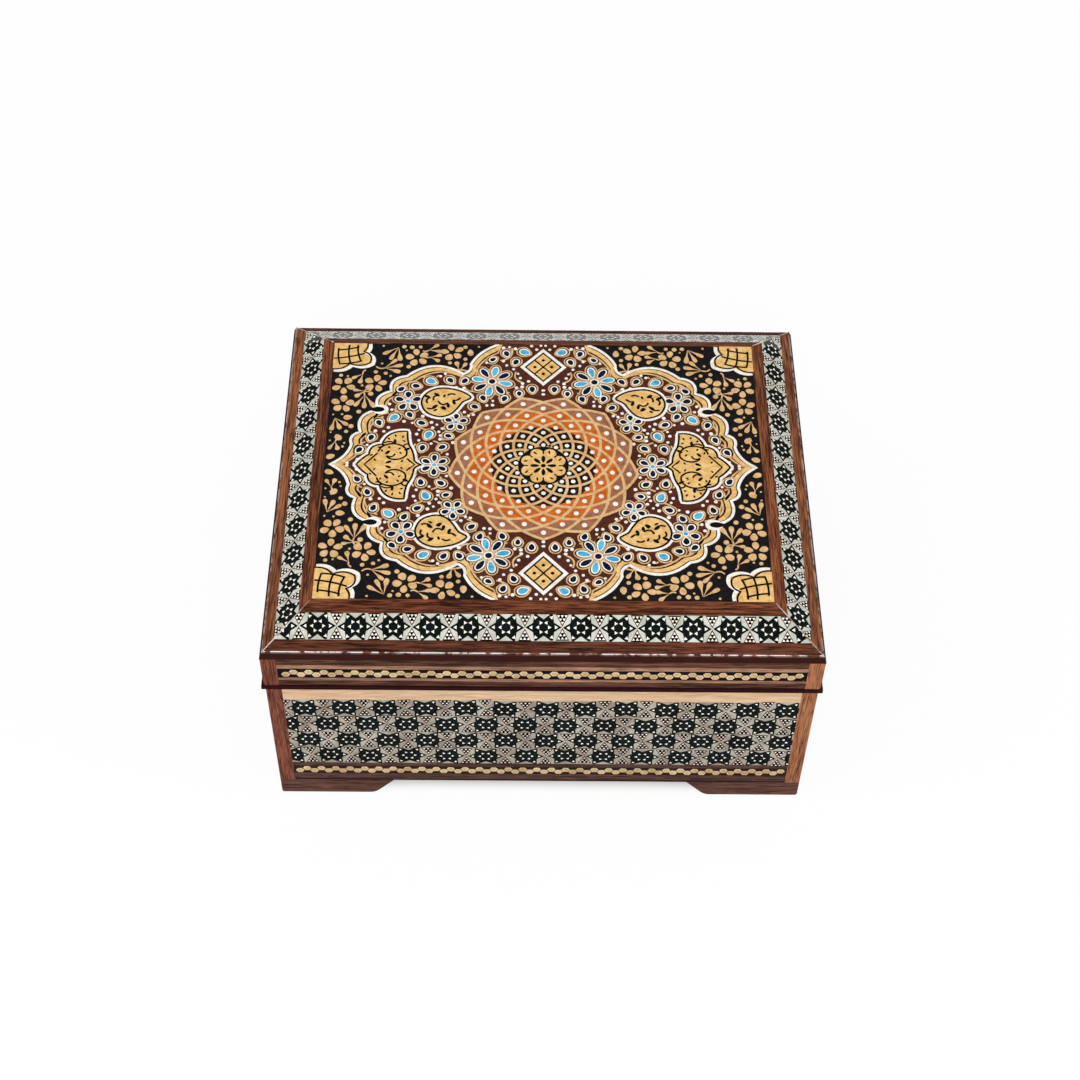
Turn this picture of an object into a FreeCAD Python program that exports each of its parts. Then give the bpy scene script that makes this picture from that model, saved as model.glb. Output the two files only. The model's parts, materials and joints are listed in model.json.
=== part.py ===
import FreeCAD, Part
import Sketcher
import os

# Inlaid wooden box: a marquetry casket on four bracket feet with a hinged, hipped lid.
# Millimetres, +Z up, front towards -Y, origin on the table under the middle of the box.

DRIVING_SIZES = {
    # Overall
    "lid_width": 160.0,
    "lid_depth": 130.0,
    "lip_overhang": 0.4,
    # Heights, from the table upwards
    "foot_height": 7.6,
    "carcase_height": 49.3,
    "seam_gap": 1.4,
    "rail_height": 12.6,
    "crown_edge": 1.8,
    "crown_rise": 7.8,
    # Carcase
    "wall_core": 3.7,
    "facing": 1.0,
    "floor_thickness": 4.0,
    "post_round": 0.8,
    "base_band_height": 9.7,
    "rim_strip_height": 6.2,
    "base_chain_lift": 3.8,
    "base_chain_height": 4.0,
    "inlay_depth": 0.6,
    # Bracket feet
    "foot_length": 35.5,
    "foot_slope": 6.5,
    "foot_thickness": 6.0,
    "foot_round": 4.0,
    # Velvet
    "lining_thickness": 1.2,
    "pad_thickness": 1.6,
    "pad_round": 0.6,
    "lid_lining_thickness": 1.0,
    "rim_clearance": 0.15,
    "rim_overhang": 1.0,
    "rim_round": 0.25,
    # Lid rails and their inlaid lines
    "rail_round": 0.4,
    "lid_inlay_lift": 2.7,
    "lower_string_height": 1.2,
    "lid_chain_height": 4.3,
    "upper_string_height": 1.7,
    # Hipped crown of the lid
    "crown_run": 14.6,
    "outer_strip_run": 4.2,
    "khatam_border_run": 6.7,
    "border_thickness": 1.8,
    "panel_drop": 0.3,
    "arris_inset": 0.9,
    "arris_round": 1.2,
    "inner_round": 0.18,
    # Butt hinges
    "hinge_margin": 23.6,
    "hinge_length": 20.0,
    "hinge_inset": 0.4,
    "hinge_clearance": 0.3,
    "barrel_radius": 1.4,
    "pin_radius": 0.6,
    "pin_clearance": 0.05,
    "knuckle_gap": 0.15,
    "leaf_thickness": 0.6,
    "leaf_reach": 4.2,
    "screw_end_margin": 4.5,
    "screw_inset": 1.5,
    "screw_head_radius": 1.0,
    "screw_radius": 0.6,
    "screw_head_depth": 0.4,
    "screw_length": 5.0,
    "screw_point": 1.2,
    "screw_clearance": 0.05,
}

doc = FreeCAD.newDocument("inlaid_wooden_box")
sheet = doc.addObject("Spreadsheet::Sheet", "sizes")
for row, (alias, number) in enumerate(DRIVING_SIZES.items(), start=1):
    sheet.set(f"A{row}", alias)
    sheet.set(f"B{row}", str(number))
    sheet.setAlias(f"B{row}", alias)
doc.recompute()


class Size:
    """A length that carries both its value and the sheet formula that gives it."""

    def __init__(self, formula, number):
        self.formula = formula
        self.number = number

    @staticmethod
    def of(value):
        return value if isinstance(value, Size) else Size(repr(float(value)), float(value))

    def __add__(self, other):
        other = Size.of(other)
        return Size(f"({self.formula} + {other.formula})", self.number + other.number)

    def __sub__(self, other):
        other = Size.of(other)
        return Size(f"({self.formula} - {other.formula})", self.number - other.number)

    def __mul__(self, other):
        other = Size.of(other)
        return Size(f"({self.formula} * {other.formula})", self.number * other.number)

    def __truediv__(self, other):
        other = Size.of(other)
        return Size(f"({self.formula} / {other.formula})", self.number / other.number)

    def __neg__(self):
        return Size(f"(0 - {self.formula})", -self.number)


def size(alias):
    return Size(f"sizes.{alias}", float(sheet.get(alias)))


# Places that follow from the driving sizes
lid_width = size("lid_width")
lid_depth = size("lid_depth")
body_width = lid_width - size("lip_overhang") * 2
body_depth = lid_depth - size("lip_overhang") * 2
wall = size("wall_core") + size("facing")
inlay_depth = size("inlay_depth")

foot_height = size("foot_height")
floor_top = foot_height + size("floor_thickness")
body_top = foot_height + size("carcase_height")
lid_bottom = body_top + size("seam_gap")
crown_base = lid_bottom + size("rail_height")
crown_top = crown_base + size("crown_edge") + size("crown_rise")

outer_run = size("outer_strip_run")
khatam_end = outer_run + size("khatam_border_run")
crown_run = size("crown_run")
border_thickness = size("border_thickness")

barrel_radius = size("barrel_radius")
axis_y = size("hinge_inset") - body_depth / 2
axis_z = body_top + size("seam_gap") / 2
barrel_room = barrel_radius + size("hinge_clearance")
screw_y = wall - size("screw_inset") - body_depth / 2
hinge_spread = body_width / 2 - size("hinge_margin") - size("hinge_length") / 2
screw_spacing = size("hinge_length") - size("screw_end_margin") * 2

# The four sides: turn about Z, length along the side and depth across it
BODY_SIDES = {
    "front": (0, body_width, body_depth),
    "right": (90, body_depth, body_width),
    "back": (180, body_width, body_depth),
    "left": (270, body_depth, body_width),
}
LID_SIDES = {
    "front": (0, lid_width, lid_depth),
    "right": (90, lid_depth, lid_width),
    "back": (180, lid_width, lid_depth),
    "left": (270, lid_depth, lid_width),
}
# The corner to the left of each side, seen from outside that side
CORNER_OF_SIDE = {
    "front": "front_left",
    "right": "front_right",
    "back": "back_right",
    "left": "back_left",
}
HINGE_SIDES = {"left": 1, "right": -1}

sub_parts = []


def turned(body, angle):
    """Turn a piece that was drawn as a front piece to its own side of the box."""
    body.Placement = FreeCAD.Placement(FreeCAD.Vector(), FreeCAD.Rotation(FreeCAD.Vector(0, 0, 1), angle))
    return body


def new_body(label, angle=0):
    body = doc.addObject("PartDesign::Body", label)
    body.Label = label
    return turned(body, angle)


def keep(piece):
    """List a finished piece as a sub-part of the box."""
    sub_parts.append(piece)
    return piece


def gather(label, pieces):
    """Hold several like pieces as one sub-part of separate solids."""
    group = doc.addObject("Part::Compound", label)
    group.Label = label
    group.Links = pieces
    return keep(group)


def new_sketch(body, plane_role, lift):
    """A sketch on one of the body's own planes, lifted along that plane's normal."""
    sketch = body.newObject("Sketcher::SketchObject", f"{body.Name}_sketch")
    plane = next(feature for feature in body.Origin.OriginFeatures if feature.Role == plane_role)
    sketch.AttachmentSupport = [(plane, "")]
    sketch.MapMode = "FlatFace"
    sketch.setExpression("AttachmentOffset.Base.z", Size.of(lift).formula)
    return sketch


def pin_point(sketch, geometry, point, place):
    """Tie a sketch point to the sheet by its two distances from the sketch's origin."""
    for kind, distance in zip(("DistanceX", "DistanceY"), place):
        distance = Size.of(distance)
        index = sketch.addConstraint(Sketcher.Constraint(kind, -1, 1, geometry, point, distance.number))
        sketch.setExpression(f"Constraints[{index}]", distance.formula)


def add_loop(sketch, points):
    """A closed outline of straight edges through points given as sizes."""
    places = [FreeCAD.Vector(Size.of(a).number, Size.of(b).number, 0) for a, b in points]
    first = sketch.GeometryCount
    count = len(points)
    for index in range(count):
        sketch.addGeometry(Part.LineSegment(places[index], places[(index + 1) % count]), False)
    for index in range(count):
        following = first + (index + 1) % count
        sketch.addConstraint(Sketcher.Constraint("Coincident", first + index, 2, following, 1))
    for index, place in enumerate(points):
        pin_point(sketch, first + index, 1, place)


def add_circle(sketch, centre, radius):
    place = FreeCAD.Vector(Size.of(centre[0]).number, Size.of(centre[1]).number, 0)
    geometry = sketch.addGeometry(Part.Circle(place, FreeCAD.Vector(0, 0, 1), radius.number), False)
    pin_point(sketch, geometry, 3, centre)
    index = sketch.addConstraint(Sketcher.Constraint("Radius", geometry, radius.number))
    sketch.setExpression(f"Constraints[{index}]", radius.formula)


def outline(body, plane_role, *loops, lift=0.0):
    sketch = new_sketch(body, plane_role, lift)
    for loop in loops:
        add_loop(sketch, loop)
    return sketch


def circles(body, plane_role, radius, centres, lift=0.0):
    sketch = new_sketch(body, plane_role, lift)
    for centre in centres:
        add_circle(sketch, centre, radius)
    return sketch


def pad(body, sketch, length, side="One side", reverse=False):
    feature = body.newObject("PartDesign::Pad", f"{body.Name}_pad")
    feature.Profile = sketch
    feature.setExpression("Length", length.formula)
    feature.SideType = side
    feature.Reversed = reverse
    return feature


def pocket(body, sketch, depth, reverse=False):
    feature = body.newObject("PartDesign::Pocket", f"{body.Name}_pocket")
    feature.Profile = sketch
    feature.setExpression("Length", depth.formula)
    feature.Reversed = reverse
    return feature


def pocket_through(body, sketch):
    feature = body.newObject("PartDesign::Pocket", f"{body.Name}_pocket")
    feature.Profile = sketch
    feature.Type = "ThroughAll"
    feature.SideType = "Symmetric"
    return feature


def rectangle(x_low, x_high, y_low, y_high):
    return [(x_low, y_low), (x_high, y_low), (x_high, y_high), (x_low, y_high)]


def block(body, x_low, x_high, y_low, y_high, z_low, height):
    """A square-edged board lying between the given planes."""
    sketch = outline(body, "XY_Plane", rectangle(x_low, x_high, y_low, y_high), lift=z_low)
    return pad(body, sketch, height)


def edges_through(feature, *spots):
    """Names of the straight edges that pass through the given places of a feature's own frame."""
    doc.recompute()
    shape = feature.Shape
    names = []
    for spot in spots:
        vertex = Part.Vertex(*[Size.of(value).number for value in spot])
        distances = [edge.distToShape(vertex)[0] for edge in shape.Edges]
        names.append(f"Edge{distances.index(min(distances)) + 1}")
    return names


def round_edges(body, feature, radius, *spots):
    names = edges_through(feature, *spots)
    fillet = body.newObject("PartDesign::Fillet", f"{body.Name}_fillet")
    fillet.Base = (feature, names)
    fillet.setExpression("Radius", radius.formula)
    return fillet


# Carcase: posts, walls and floor
def corner_post(label, angle, along, across, bottom, height):
    """A square upright at the left end of a side, its outer edge eased."""
    body = new_body(label, angle)
    x_low = -along / 2
    y_low = -across / 2
    post = block(body, x_low, x_low + wall, y_low, y_low + wall, bottom, height)
    round_edges(body, post, size("post_round"), (x_low, y_low, bottom + height / 2))
    return keep(body)


def hinge_notches(body, lower, height):
    """Clear the hinge barrels along the back: one notch for each hinge."""
    half = size("hinge_length") / 2 + size("hinge_clearance")
    loops = []
    for sign in HINGE_SIDES.values():
        middle = hinge_spread * sign
        loops.append(rectangle(middle - half, middle + half, axis_y - barrel_room * 2, axis_y + barrel_room))
    sketch = outline(body, "XY_Plane", *loops, lift=lower)
    return pocket(body, sketch, height, reverse=True)


def pilot_holes(body, start, upwards):
    """Screw holes for both hinges, from the seam into the wood."""
    half = screw_spacing / 2
    centres = []
    for sign in HINGE_SIDES.values():
        middle = hinge_spread * sign
        centres += [(middle - half, screw_y), (middle + half, screw_y)]
    radius = size("screw_radius") + size("screw_clearance")
    sketch = circles(body, "XY_Plane", radius, centres, lift=start)
    return pocket(body, sketch, size("screw_length"), reverse=upwards)


def carcase_wall(side):
    angle, along, across = BODY_SIDES[side]
    body = new_body(f"{side}_wall", angle)
    half = along / 2 - wall
    outer = size("facing") - across / 2
    block(body, -half, half, outer, outer + size("wall_core"), foot_height, size("carcase_height"))
    if side == "back":
        hinge_notches(body, axis_z - barrel_room, barrel_room)
        pilot_holes(body, body_top, upwards=False)
    return keep(body)


def floor_board():
    body = new_body("floor_board")
    half_x = body_width / 2 - wall
    half_y = body_depth / 2 - wall
    block(body, -half_x, half_x, -half_y, half_y, foot_height, size("floor_thickness"))
    return keep(body)


# Facings of the carcase, from the base upwards
khatam_bottom = foot_height + size("base_band_height")
khatam_top = body_top - size("rim_strip_height")


def base_band(side):
    """A dark band along the foot of a side, grooved for its chain inlay."""
    angle, along, across = BODY_SIDES[side]
    body = new_body(f"{side}_base_band", angle)
    outer = -across / 2
    inner = outer + size("facing")
    groove = outer + inlay_depth
    chain_low = foot_height + size("base_chain_lift")
    chain_high = chain_low + size("base_chain_height")
    section = [
        (outer, foot_height),
        (inner, foot_height),
        (inner, khatam_bottom),
        (outer, khatam_bottom),
        (outer, chain_high),
        (groove, chain_high),
        (groove, chain_low),
        (outer, chain_low),
    ]
    pad(body, outline(body, "YZ_Plane", section), along - wall * 2, side="Symmetric")
    return keep(body)


def facing_strip(label, sides, side, bottom, height, thickness):
    """A flat strip let into the face of a side between its two posts."""
    angle, along, across = sides[side]
    body = new_body(label, angle)
    half = along / 2 - wall
    block(body, -half, half, -across / 2, thickness - across / 2, bottom, height)
    return body


def khatam_panel(side):
    height = khatam_top - khatam_bottom
    return keep(facing_strip(f"{side}_khatam_panel", BODY_SIDES, side, khatam_bottom, height, size("facing")))


def rim_strip(side):
    height = size("rim_strip_height")
    body = facing_strip(f"{side}_rim_strip", BODY_SIDES, side, khatam_top, height, size("facing"))
    if side == "back":
        hinge_notches(body, axis_z - barrel_room, barrel_room)
    return body


def base_chain(side):
    bottom = foot_height + size("base_chain_lift")
    return facing_strip(f"{side}_base_chain", BODY_SIDES, side, bottom, size("base_chain_height"), inlay_depth)


# Bracket feet
def bracket_foot(side):
    """An angle bracket under the left corner of a side, both arms sloped and rounded at the end."""
    angle, along, across = BODY_SIDES[side]
    body = new_body(f"{CORNER_OF_SIDE[side]}_foot", angle)
    x_low = -along / 2
    y_low = -across / 2
    thickness = size("foot_thickness")
    toe = size("foot_length") - size("foot_slope")

    def arm(low):
        return [
            (low, 0.0),
            (low + toe, 0.0),
            (low + size("foot_length"), foot_height),
            (low, foot_height),
        ]

    pad(body, outline(body, "XZ_Plane", arm(x_low), lift=-y_low), thickness, reverse=True)
    bracket = pad(body, outline(body, "YZ_Plane", arm(y_low), lift=x_low), thickness)
    toes = [(x_low + toe, y_low + thickness / 2, 0.0), (x_low + thickness / 2, y_low + toe, 0.0)]
    rounded = round_edges(body, bracket, size("foot_round"), *toes)
    heels = [(x_low + toe / 2, y_low, 0.0), (x_low, y_low + toe / 2, 0.0)]
    round_edges(body, rounded, size("post_round"), (x_low, y_low, foot_height / 2), *heels)
    return keep(body)


# Velvet: linings of the well and the lid, and the rim that closes the seam
lining_thickness = size("lining_thickness")


def wall_lining(side):
    angle, along, across = BODY_SIDES[side]
    body = new_body(f"{side}_lining", angle)
    half = along / 2 - wall
    if side in ("left", "right"):
        half = half - lining_thickness
    outer = wall - across / 2
    block(body, -half, half, outer, outer + lining_thickness, floor_top, body_top - floor_top)
    return body


def floor_pad():
    body = new_body("floor_pad")
    half_x = body_width / 2 - wall - lining_thickness
    half_y = body_depth / 2 - wall - lining_thickness
    cushion = block(body, -half_x, half_x, -half_y, half_y, floor_top, size("pad_thickness"))
    pad_top = floor_top + size("pad_thickness")
    round_edges(body, cushion, size("pad_round"), (0, -half_y, pad_top), (0, half_y, pad_top),
                (-half_x, 0, pad_top), (half_x, 0, pad_top))
    return keep(body)


def lid_lining():
    body = new_body("lid_lining")
    half_x = lid_width / 2 - wall
    half_y = lid_depth / 2 - wall
    thickness = size("lid_lining_thickness")
    block(body, -half_x, half_x, -half_y, half_y, crown_base - thickness, thickness)
    return keep(body)


def velvet_rim(prefix, bottom):
    """One half of the soft bead that closes the seam: proud of the sides and open at the hinges."""
    thickness = (size("seam_gap") - size("rim_clearance")) / 2
    bulge = size("rim_overhang")
    half_x = body_width / 2
    front = -body_depth / 2
    back = -axis_y - barrel_room
    top = bottom + thickness
    round_off = size("rim_round")

    front_bead = new_body(f"{prefix}front_bead")
    bead = block(front_bead, -half_x - bulge, half_x + bulge, front - bulge, front + wall, bottom, thickness)
    round_edges(front_bead, bead, round_off, (0, front - bulge, top), (0, front - bulge, bottom))

    side_beads = []
    for name, sign in (("left", -1), ("right", 1)):
        body = new_body(f"{prefix}{name}_bead")
        outer = (half_x + bulge) * sign
        inner = (half_x - wall) * sign
        low, high = (outer, inner) if sign < 0 else (inner, outer)
        bead = block(body, low, high, front + wall, back, bottom, thickness)
        round_edges(body, bead, round_off, (outer, 0, top), (outer, 0, bottom))
        side_beads.append(body)

    hinge_half = size("hinge_length") / 2 + size("hinge_clearance")
    stops = [
        wall - half_x,
        -hinge_spread - hinge_half,
        -hinge_spread + hinge_half,
        hinge_spread - hinge_half,
        hinge_spread + hinge_half,
        half_x - wall,
    ]
    back_beads = []
    for index in range(0, len(stops), 2):
        body = new_body(f"{prefix}back_bead_{index // 2 + 1}")
        block(body, stops[index], stops[index + 1], body_depth / 2 - wall, back, bottom, thickness)
        back_beads.append(body)
    return gather(f"{prefix}velvet_rim", [front_bead] + side_beads + back_beads)


# Lid: rails between corner posts, with three inlaid lines in a groove
inlay_bottom = lid_bottom + size("lid_inlay_lift")
lid_chain_bottom = inlay_bottom + size("lower_string_height")
upper_string_bottom = lid_chain_bottom + size("lid_chain_height")
inlay_top = upper_string_bottom + size("upper_string_height")


def lid_rail(side):
    angle, along, across = LID_SIDES[side]
    body = new_body(f"lid_{side}_rail", angle)
    outer = -across / 2
    groove = outer + inlay_depth
    section = [
        (outer, lid_bottom),
        (outer + wall, lid_bottom),
        (outer + wall, crown_base),
        (outer, crown_base),
        (outer, inlay_top),
        (groove, inlay_top),
        (groove, inlay_bottom),
        (outer, inlay_bottom),
    ]
    rail = pad(body, outline(body, "YZ_Plane", section), along - wall * 2, side="Symmetric")
    round_edges(body, rail, size("rail_round"), (0, outer, lid_bottom))
    if side == "back":
        hinge_notches(body, lid_bottom, axis_z + barrel_room - lid_bottom)
        pilot_holes(body, lid_bottom, upwards=True)
    return keep(body)


def lid_line(name, side, bottom, height):
    return facing_strip(f"{side}_{name}", LID_SIDES, side, bottom, height, inlay_depth)


# Hipped crown: a bevelled board, three mitred borders on each slope and the painted panel
def slope_height(run):
    """Height of the lid's slope above the crown's base, at a distance in from the edge."""
    return size("crown_edge") + size("crown_rise") * run / crown_run


def lid_board():
    body = new_body("lid_board")
    shoulder = slope_height(outer_run) - border_thickness
    half_x = lid_width / 2 - outer_run
    half_y = lid_depth / 2 - outer_run
    top_x = lid_width / 2 - crown_run
    top_y = lid_depth / 2 - crown_run
    block(body, -half_x, half_x, -half_y, half_y, crown_base, shoulder)
    lower = outline(body, "XY_Plane", rectangle(-half_x, half_x, -half_y, half_y), lift=crown_base + shoulder)
    upper = outline(body, "XY_Plane", rectangle(-top_x, top_x, -top_y, top_y), lift=crown_top - border_thickness)
    bevel = body.newObject("PartDesign::AdditiveLoft", "lid_board_bevel")
    bevel.Profile = lower
    bevel.Sections = [upper]
    bevel.Ruled = True
    return keep(body)


def mitre(body, along, across, run_low, run_high):
    """Cut both ends of a border at 45 degrees, along the hips of the lid."""
    low = run_low - across / 2
    high = run_high - across / 2
    right = [
        (along / 2 - run_low, low),
        (along / 2 + run_high, low),
        (along / 2 + run_high, high),
        (along / 2 - run_high, high),
    ]
    left = [(-x, y) for x, y in reversed(right)]
    return pocket_through(body, outline(body, "XY_Plane", left, right))


def crown_border(name, side, run_low, run_high, foot_low, foot_high, lean=0.0):
    """A mitred border of one slope: top on the slope, foot at the given heights, outer face leaning in."""
    angle, along, across = LID_SIDES[side]
    body = new_body(f"{side}_{name}", angle)
    low = run_low - across / 2
    high = run_high - across / 2
    arris = (low + lean, crown_base + slope_height(run_low + lean))
    section = [
        (low, crown_base + foot_low),
        (high, crown_base + foot_high),
        (high, crown_base + slope_height(run_high)),
        arris,
    ]
    border = pad(body, outline(body, "YZ_Plane", section), along, side="Symmetric")
    if name == "outer_moulding":
        round_edges(body, border, size("arris_round"), (0, *arris))
    if name == "inner_moulding":
        round_edges(body, border, size("inner_round"), (0, high, crown_base + slope_height(run_high)))
    mitre(body, along, across, run_low, run_high)
    return keep(body)


def veneer_border(name, side, run_low, run_high):
    """A border of even thickness laid on the bevel of the lid board."""
    foot_low = slope_height(run_low) - border_thickness
    foot_high = slope_height(run_high) - border_thickness
    return crown_border(name, side, run_low, run_high, foot_low, foot_high)


def painted_panel():
    body = new_body("painted_panel")
    half_x = lid_width / 2 - crown_run
    half_y = lid_depth / 2 - crown_run
    thickness = border_thickness - size("panel_drop")
    block(body, -half_x, half_x, -half_y, half_y, crown_top - border_thickness, thickness)
    return keep(body)


# Butt hinges: drawn as front pieces and turned to the back
leaf_thickness = size("leaf_thickness")
knuckle = size("hinge_length") / 3
knuckle_gap = size("knuckle_gap")


def add_knuckle(body, start, length):
    sketch = circles(body, "YZ_Plane", barrel_radius, [(axis_y, axis_z)], lift=start)
    return pad(body, sketch, length)


def finish_leaf(body, middle, face, upwards):
    """Bore the knuckles for the pin and countersink the leaf for its two screws."""
    bore = size("pin_radius") + size("pin_clearance")
    pocket_through(body, circles(body, "YZ_Plane", bore, [(axis_y, axis_z)], lift=middle))
    half = screw_spacing / 2
    centres = [(middle - half, screw_y), (middle + half, screw_y)]
    for (x, y) in centres:
        wide = size("screw_head_radius") + size("screw_clearance")
        narrow = size("screw_radius") + size("screw_clearance")
        depth = size("screw_head_depth")
        inner = face + depth if upwards else face - depth
        sink = body.newObject("PartDesign::SubtractiveLoft", f"{body.Name}_countersink")
        sink.Profile = circles(body, "XY_Plane", wide, [(x, y)], lift=face)
        sink.Sections = [circles(body, "XY_Plane", narrow, [(x, y)], lift=inner)]
        sink.Ruled = True
        pocket(body, circles(body, "XY_Plane", narrow, [(x, y)], lift=face), leaf_thickness, reverse=upwards)
    return keep(body)


def body_leaf(hinge):
    """The leaf on the box: two outer knuckles, with a gap for the lid's knuckle."""
    middle = hinge_spread * HINGE_SIDES[hinge]
    half = size("hinge_length") / 2
    slot = knuckle / 2 + knuckle_gap
    slot_end = axis_y + barrel_radius + knuckle_gap
    reach = axis_y + size("leaf_reach")
    body = new_body(f"{hinge}_hinge_body_leaf", BODY_SIDES["back"][0])
    plate = [
        (middle - half, axis_y),
        (middle - slot, axis_y),
        (middle - slot, slot_end),
        (middle + slot, slot_end),
        (middle + slot, axis_y),
        (middle + half, axis_y),
        (middle + half, reach),
        (middle - half, reach),
    ]
    pad(body, outline(body, "XY_Plane", plate, lift=body_top), leaf_thickness)
    add_knuckle(body, middle - half, half - slot)
    add_knuckle(body, middle + slot, half - slot)
    return finish_leaf(body, middle, body_top + leaf_thickness, upwards=False)


def lid_leaf(hinge):
    """The leaf under the lid: one middle knuckle on a tongue."""
    middle = hinge_spread * HINGE_SIDES[hinge]
    half = size("hinge_length") / 2
    tongue = knuckle / 2
    tongue_root = axis_y + barrel_radius + knuckle_gap
    reach = axis_y + size("leaf_reach")
    body = new_body(f"{hinge}_hinge_lid_leaf", BODY_SIDES["back"][0])
    plate = [
        (middle - tongue, axis_y),
        (middle + tongue, axis_y),
        (middle + tongue, tongue_root),
        (middle + half, tongue_root),
        (middle + half, reach),
        (middle - half, reach),
        (middle - half, tongue_root),
        (middle - tongue, tongue_root),
    ]
    pad(body, outline(body, "XY_Plane", plate, lift=lid_bottom - leaf_thickness), leaf_thickness)
    add_knuckle(body, middle - tongue, knuckle)
    return finish_leaf(body, middle, lid_bottom - leaf_thickness, upwards=True)


def hinge_pin(hinge):
    middle = hinge_spread * HINGE_SIDES[hinge]
    half = size("hinge_length") / 2
    body = new_body(f"{hinge}_hinge_pin", BODY_SIDES["back"][0])
    sketch = circles(body, "YZ_Plane", size("pin_radius"), [(axis_y, axis_z)], lift=middle - half)
    pad(body, sketch, size("hinge_length"))
    return keep(body)


def countersunk_screw(label, x, head_z, upwards):
    """A small wood screw, its head flush with the face of the leaf."""
    body = new_body(label)
    head = size("screw_head_radius")
    shank = size("screw_radius")
    length = size("screw_length")
    profile = [
        (0.0, 0.0),
        (head, 0.0),
        (shank, -size("screw_head_depth")),
        (shank, size("screw_point") - length),
        (0.0, -length),
    ]
    sketch = outline(body, "XZ_Plane", profile)
    turning = body.newObject("PartDesign::Revolution", f"{label}_turning")
    turning.Profile = sketch
    turning.ReferenceAxis = (sketch, ["V_Axis"])
    turning.Angle = 360.0
    flip = 180 if upwards else 0
    body.Placement = FreeCAD.Placement(FreeCAD.Vector(), FreeCAD.Rotation(FreeCAD.Vector(1, 0, 0), flip))
    for axis, place in zip("xyz", (x, -screw_y, head_z)):
        body.setExpression(f"Placement.Base.{axis}", place.formula)
    return body


def hinge_screws(label, head_z, upwards):
    half = screw_spacing / 2
    screws = []
    for sign in HINGE_SIDES.values():
        for step in (-1, 1):
            place = hinge_spread * sign + half * step
            screws.append(countersunk_screw(f"{label}_{len(screws) + 1}", place, head_z, upwards))
    return gather(label, screws)


# The box, from the table upwards
for side_name in BODY_SIDES:
    bracket_foot(side_name)
for side_name in BODY_SIDES:
    turn, side_along, side_across = BODY_SIDES[side_name]
    post_label = f"{CORNER_OF_SIDE[side_name]}_post"
    corner_post(post_label, turn, side_along, side_across, foot_height, size("carcase_height"))
    carcase_wall(side_name)
    base_band(side_name)
    khatam_panel(side_name)
floor_board()
gather("base_chain_inlays", [base_chain(side_name) for side_name in BODY_SIDES])
gather("rim_strips", [rim_strip(side_name) for side_name in BODY_SIDES])
gather("wall_linings", [wall_lining(side_name) for side_name in BODY_SIDES])
floor_pad()
velvet_rim("", body_top)

# The lid
for side_name in LID_SIDES:
    turn, side_along, side_across = LID_SIDES[side_name]
    post_label = f"lid_{CORNER_OF_SIDE[side_name]}_post"
    corner_post(post_label, turn, side_along, side_across, lid_bottom, size("rail_height"))
    lid_rail(side_name)
    crown_border(
        "outer_moulding", side_name, Size.of(0), outer_run, Size.of(0), Size.of(0), lean=size("arris_inset")
    )
    veneer_border("khatam_border", side_name, outer_run, khatam_end)
    veneer_border("inner_moulding", side_name, khatam_end, crown_run)
lid_board()
painted_panel()
lid_lining()
string_lines = []
chain_lines = []
for side_name in LID_SIDES:
    string_lines.append(lid_line("lower_string", side_name, inlay_bottom, size("lower_string_height")))
    string_lines.append(lid_line("upper_string", side_name, upper_string_bottom, size("upper_string_height")))
    chain_lines.append(lid_line("lid_chain", side_name, lid_chain_bottom, size("lid_chain_height")))
gather("lid_stringing", string_lines)
gather("lid_chain_inlays", chain_lines)
velvet_rim("lid_", lid_bottom - (size("seam_gap") - size("rim_clearance")) / 2)

# The hinges
for hinge_name in HINGE_SIDES:
    body_leaf(hinge_name)
    lid_leaf(hinge_name)
    hinge_pin(hinge_name)
hinge_screws("body_hinge_screws", body_top + leaf_thickness, upwards=False)
hinge_screws("lid_hinge_screws", lid_bottom - leaf_thickness, upwards=True)

# Check every object, then write each sub-part
doc.recompute()
for item in doc.Objects:
    if "Invalid" in item.State or "Error" in item.State:
        raise RuntimeError(f"{item.Label} failed to build: {item.State}")
os.makedirs("parts", exist_ok=True)
for piece in sub_parts:
    if piece.Shape.isNull() or not piece.Shape.isValid():
        raise RuntimeError(f"{piece.Label} has no valid shape")
for piece in sub_parts:
    piece.Shape.exportStep(f"parts/{piece.Label}.step")
print(f"{len(sub_parts)} sub-parts written")
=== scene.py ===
import functools
import itertools
import json
import math
import random

import bmesh
import bpy
from mathutils import Matrix, Vector, noise


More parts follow.
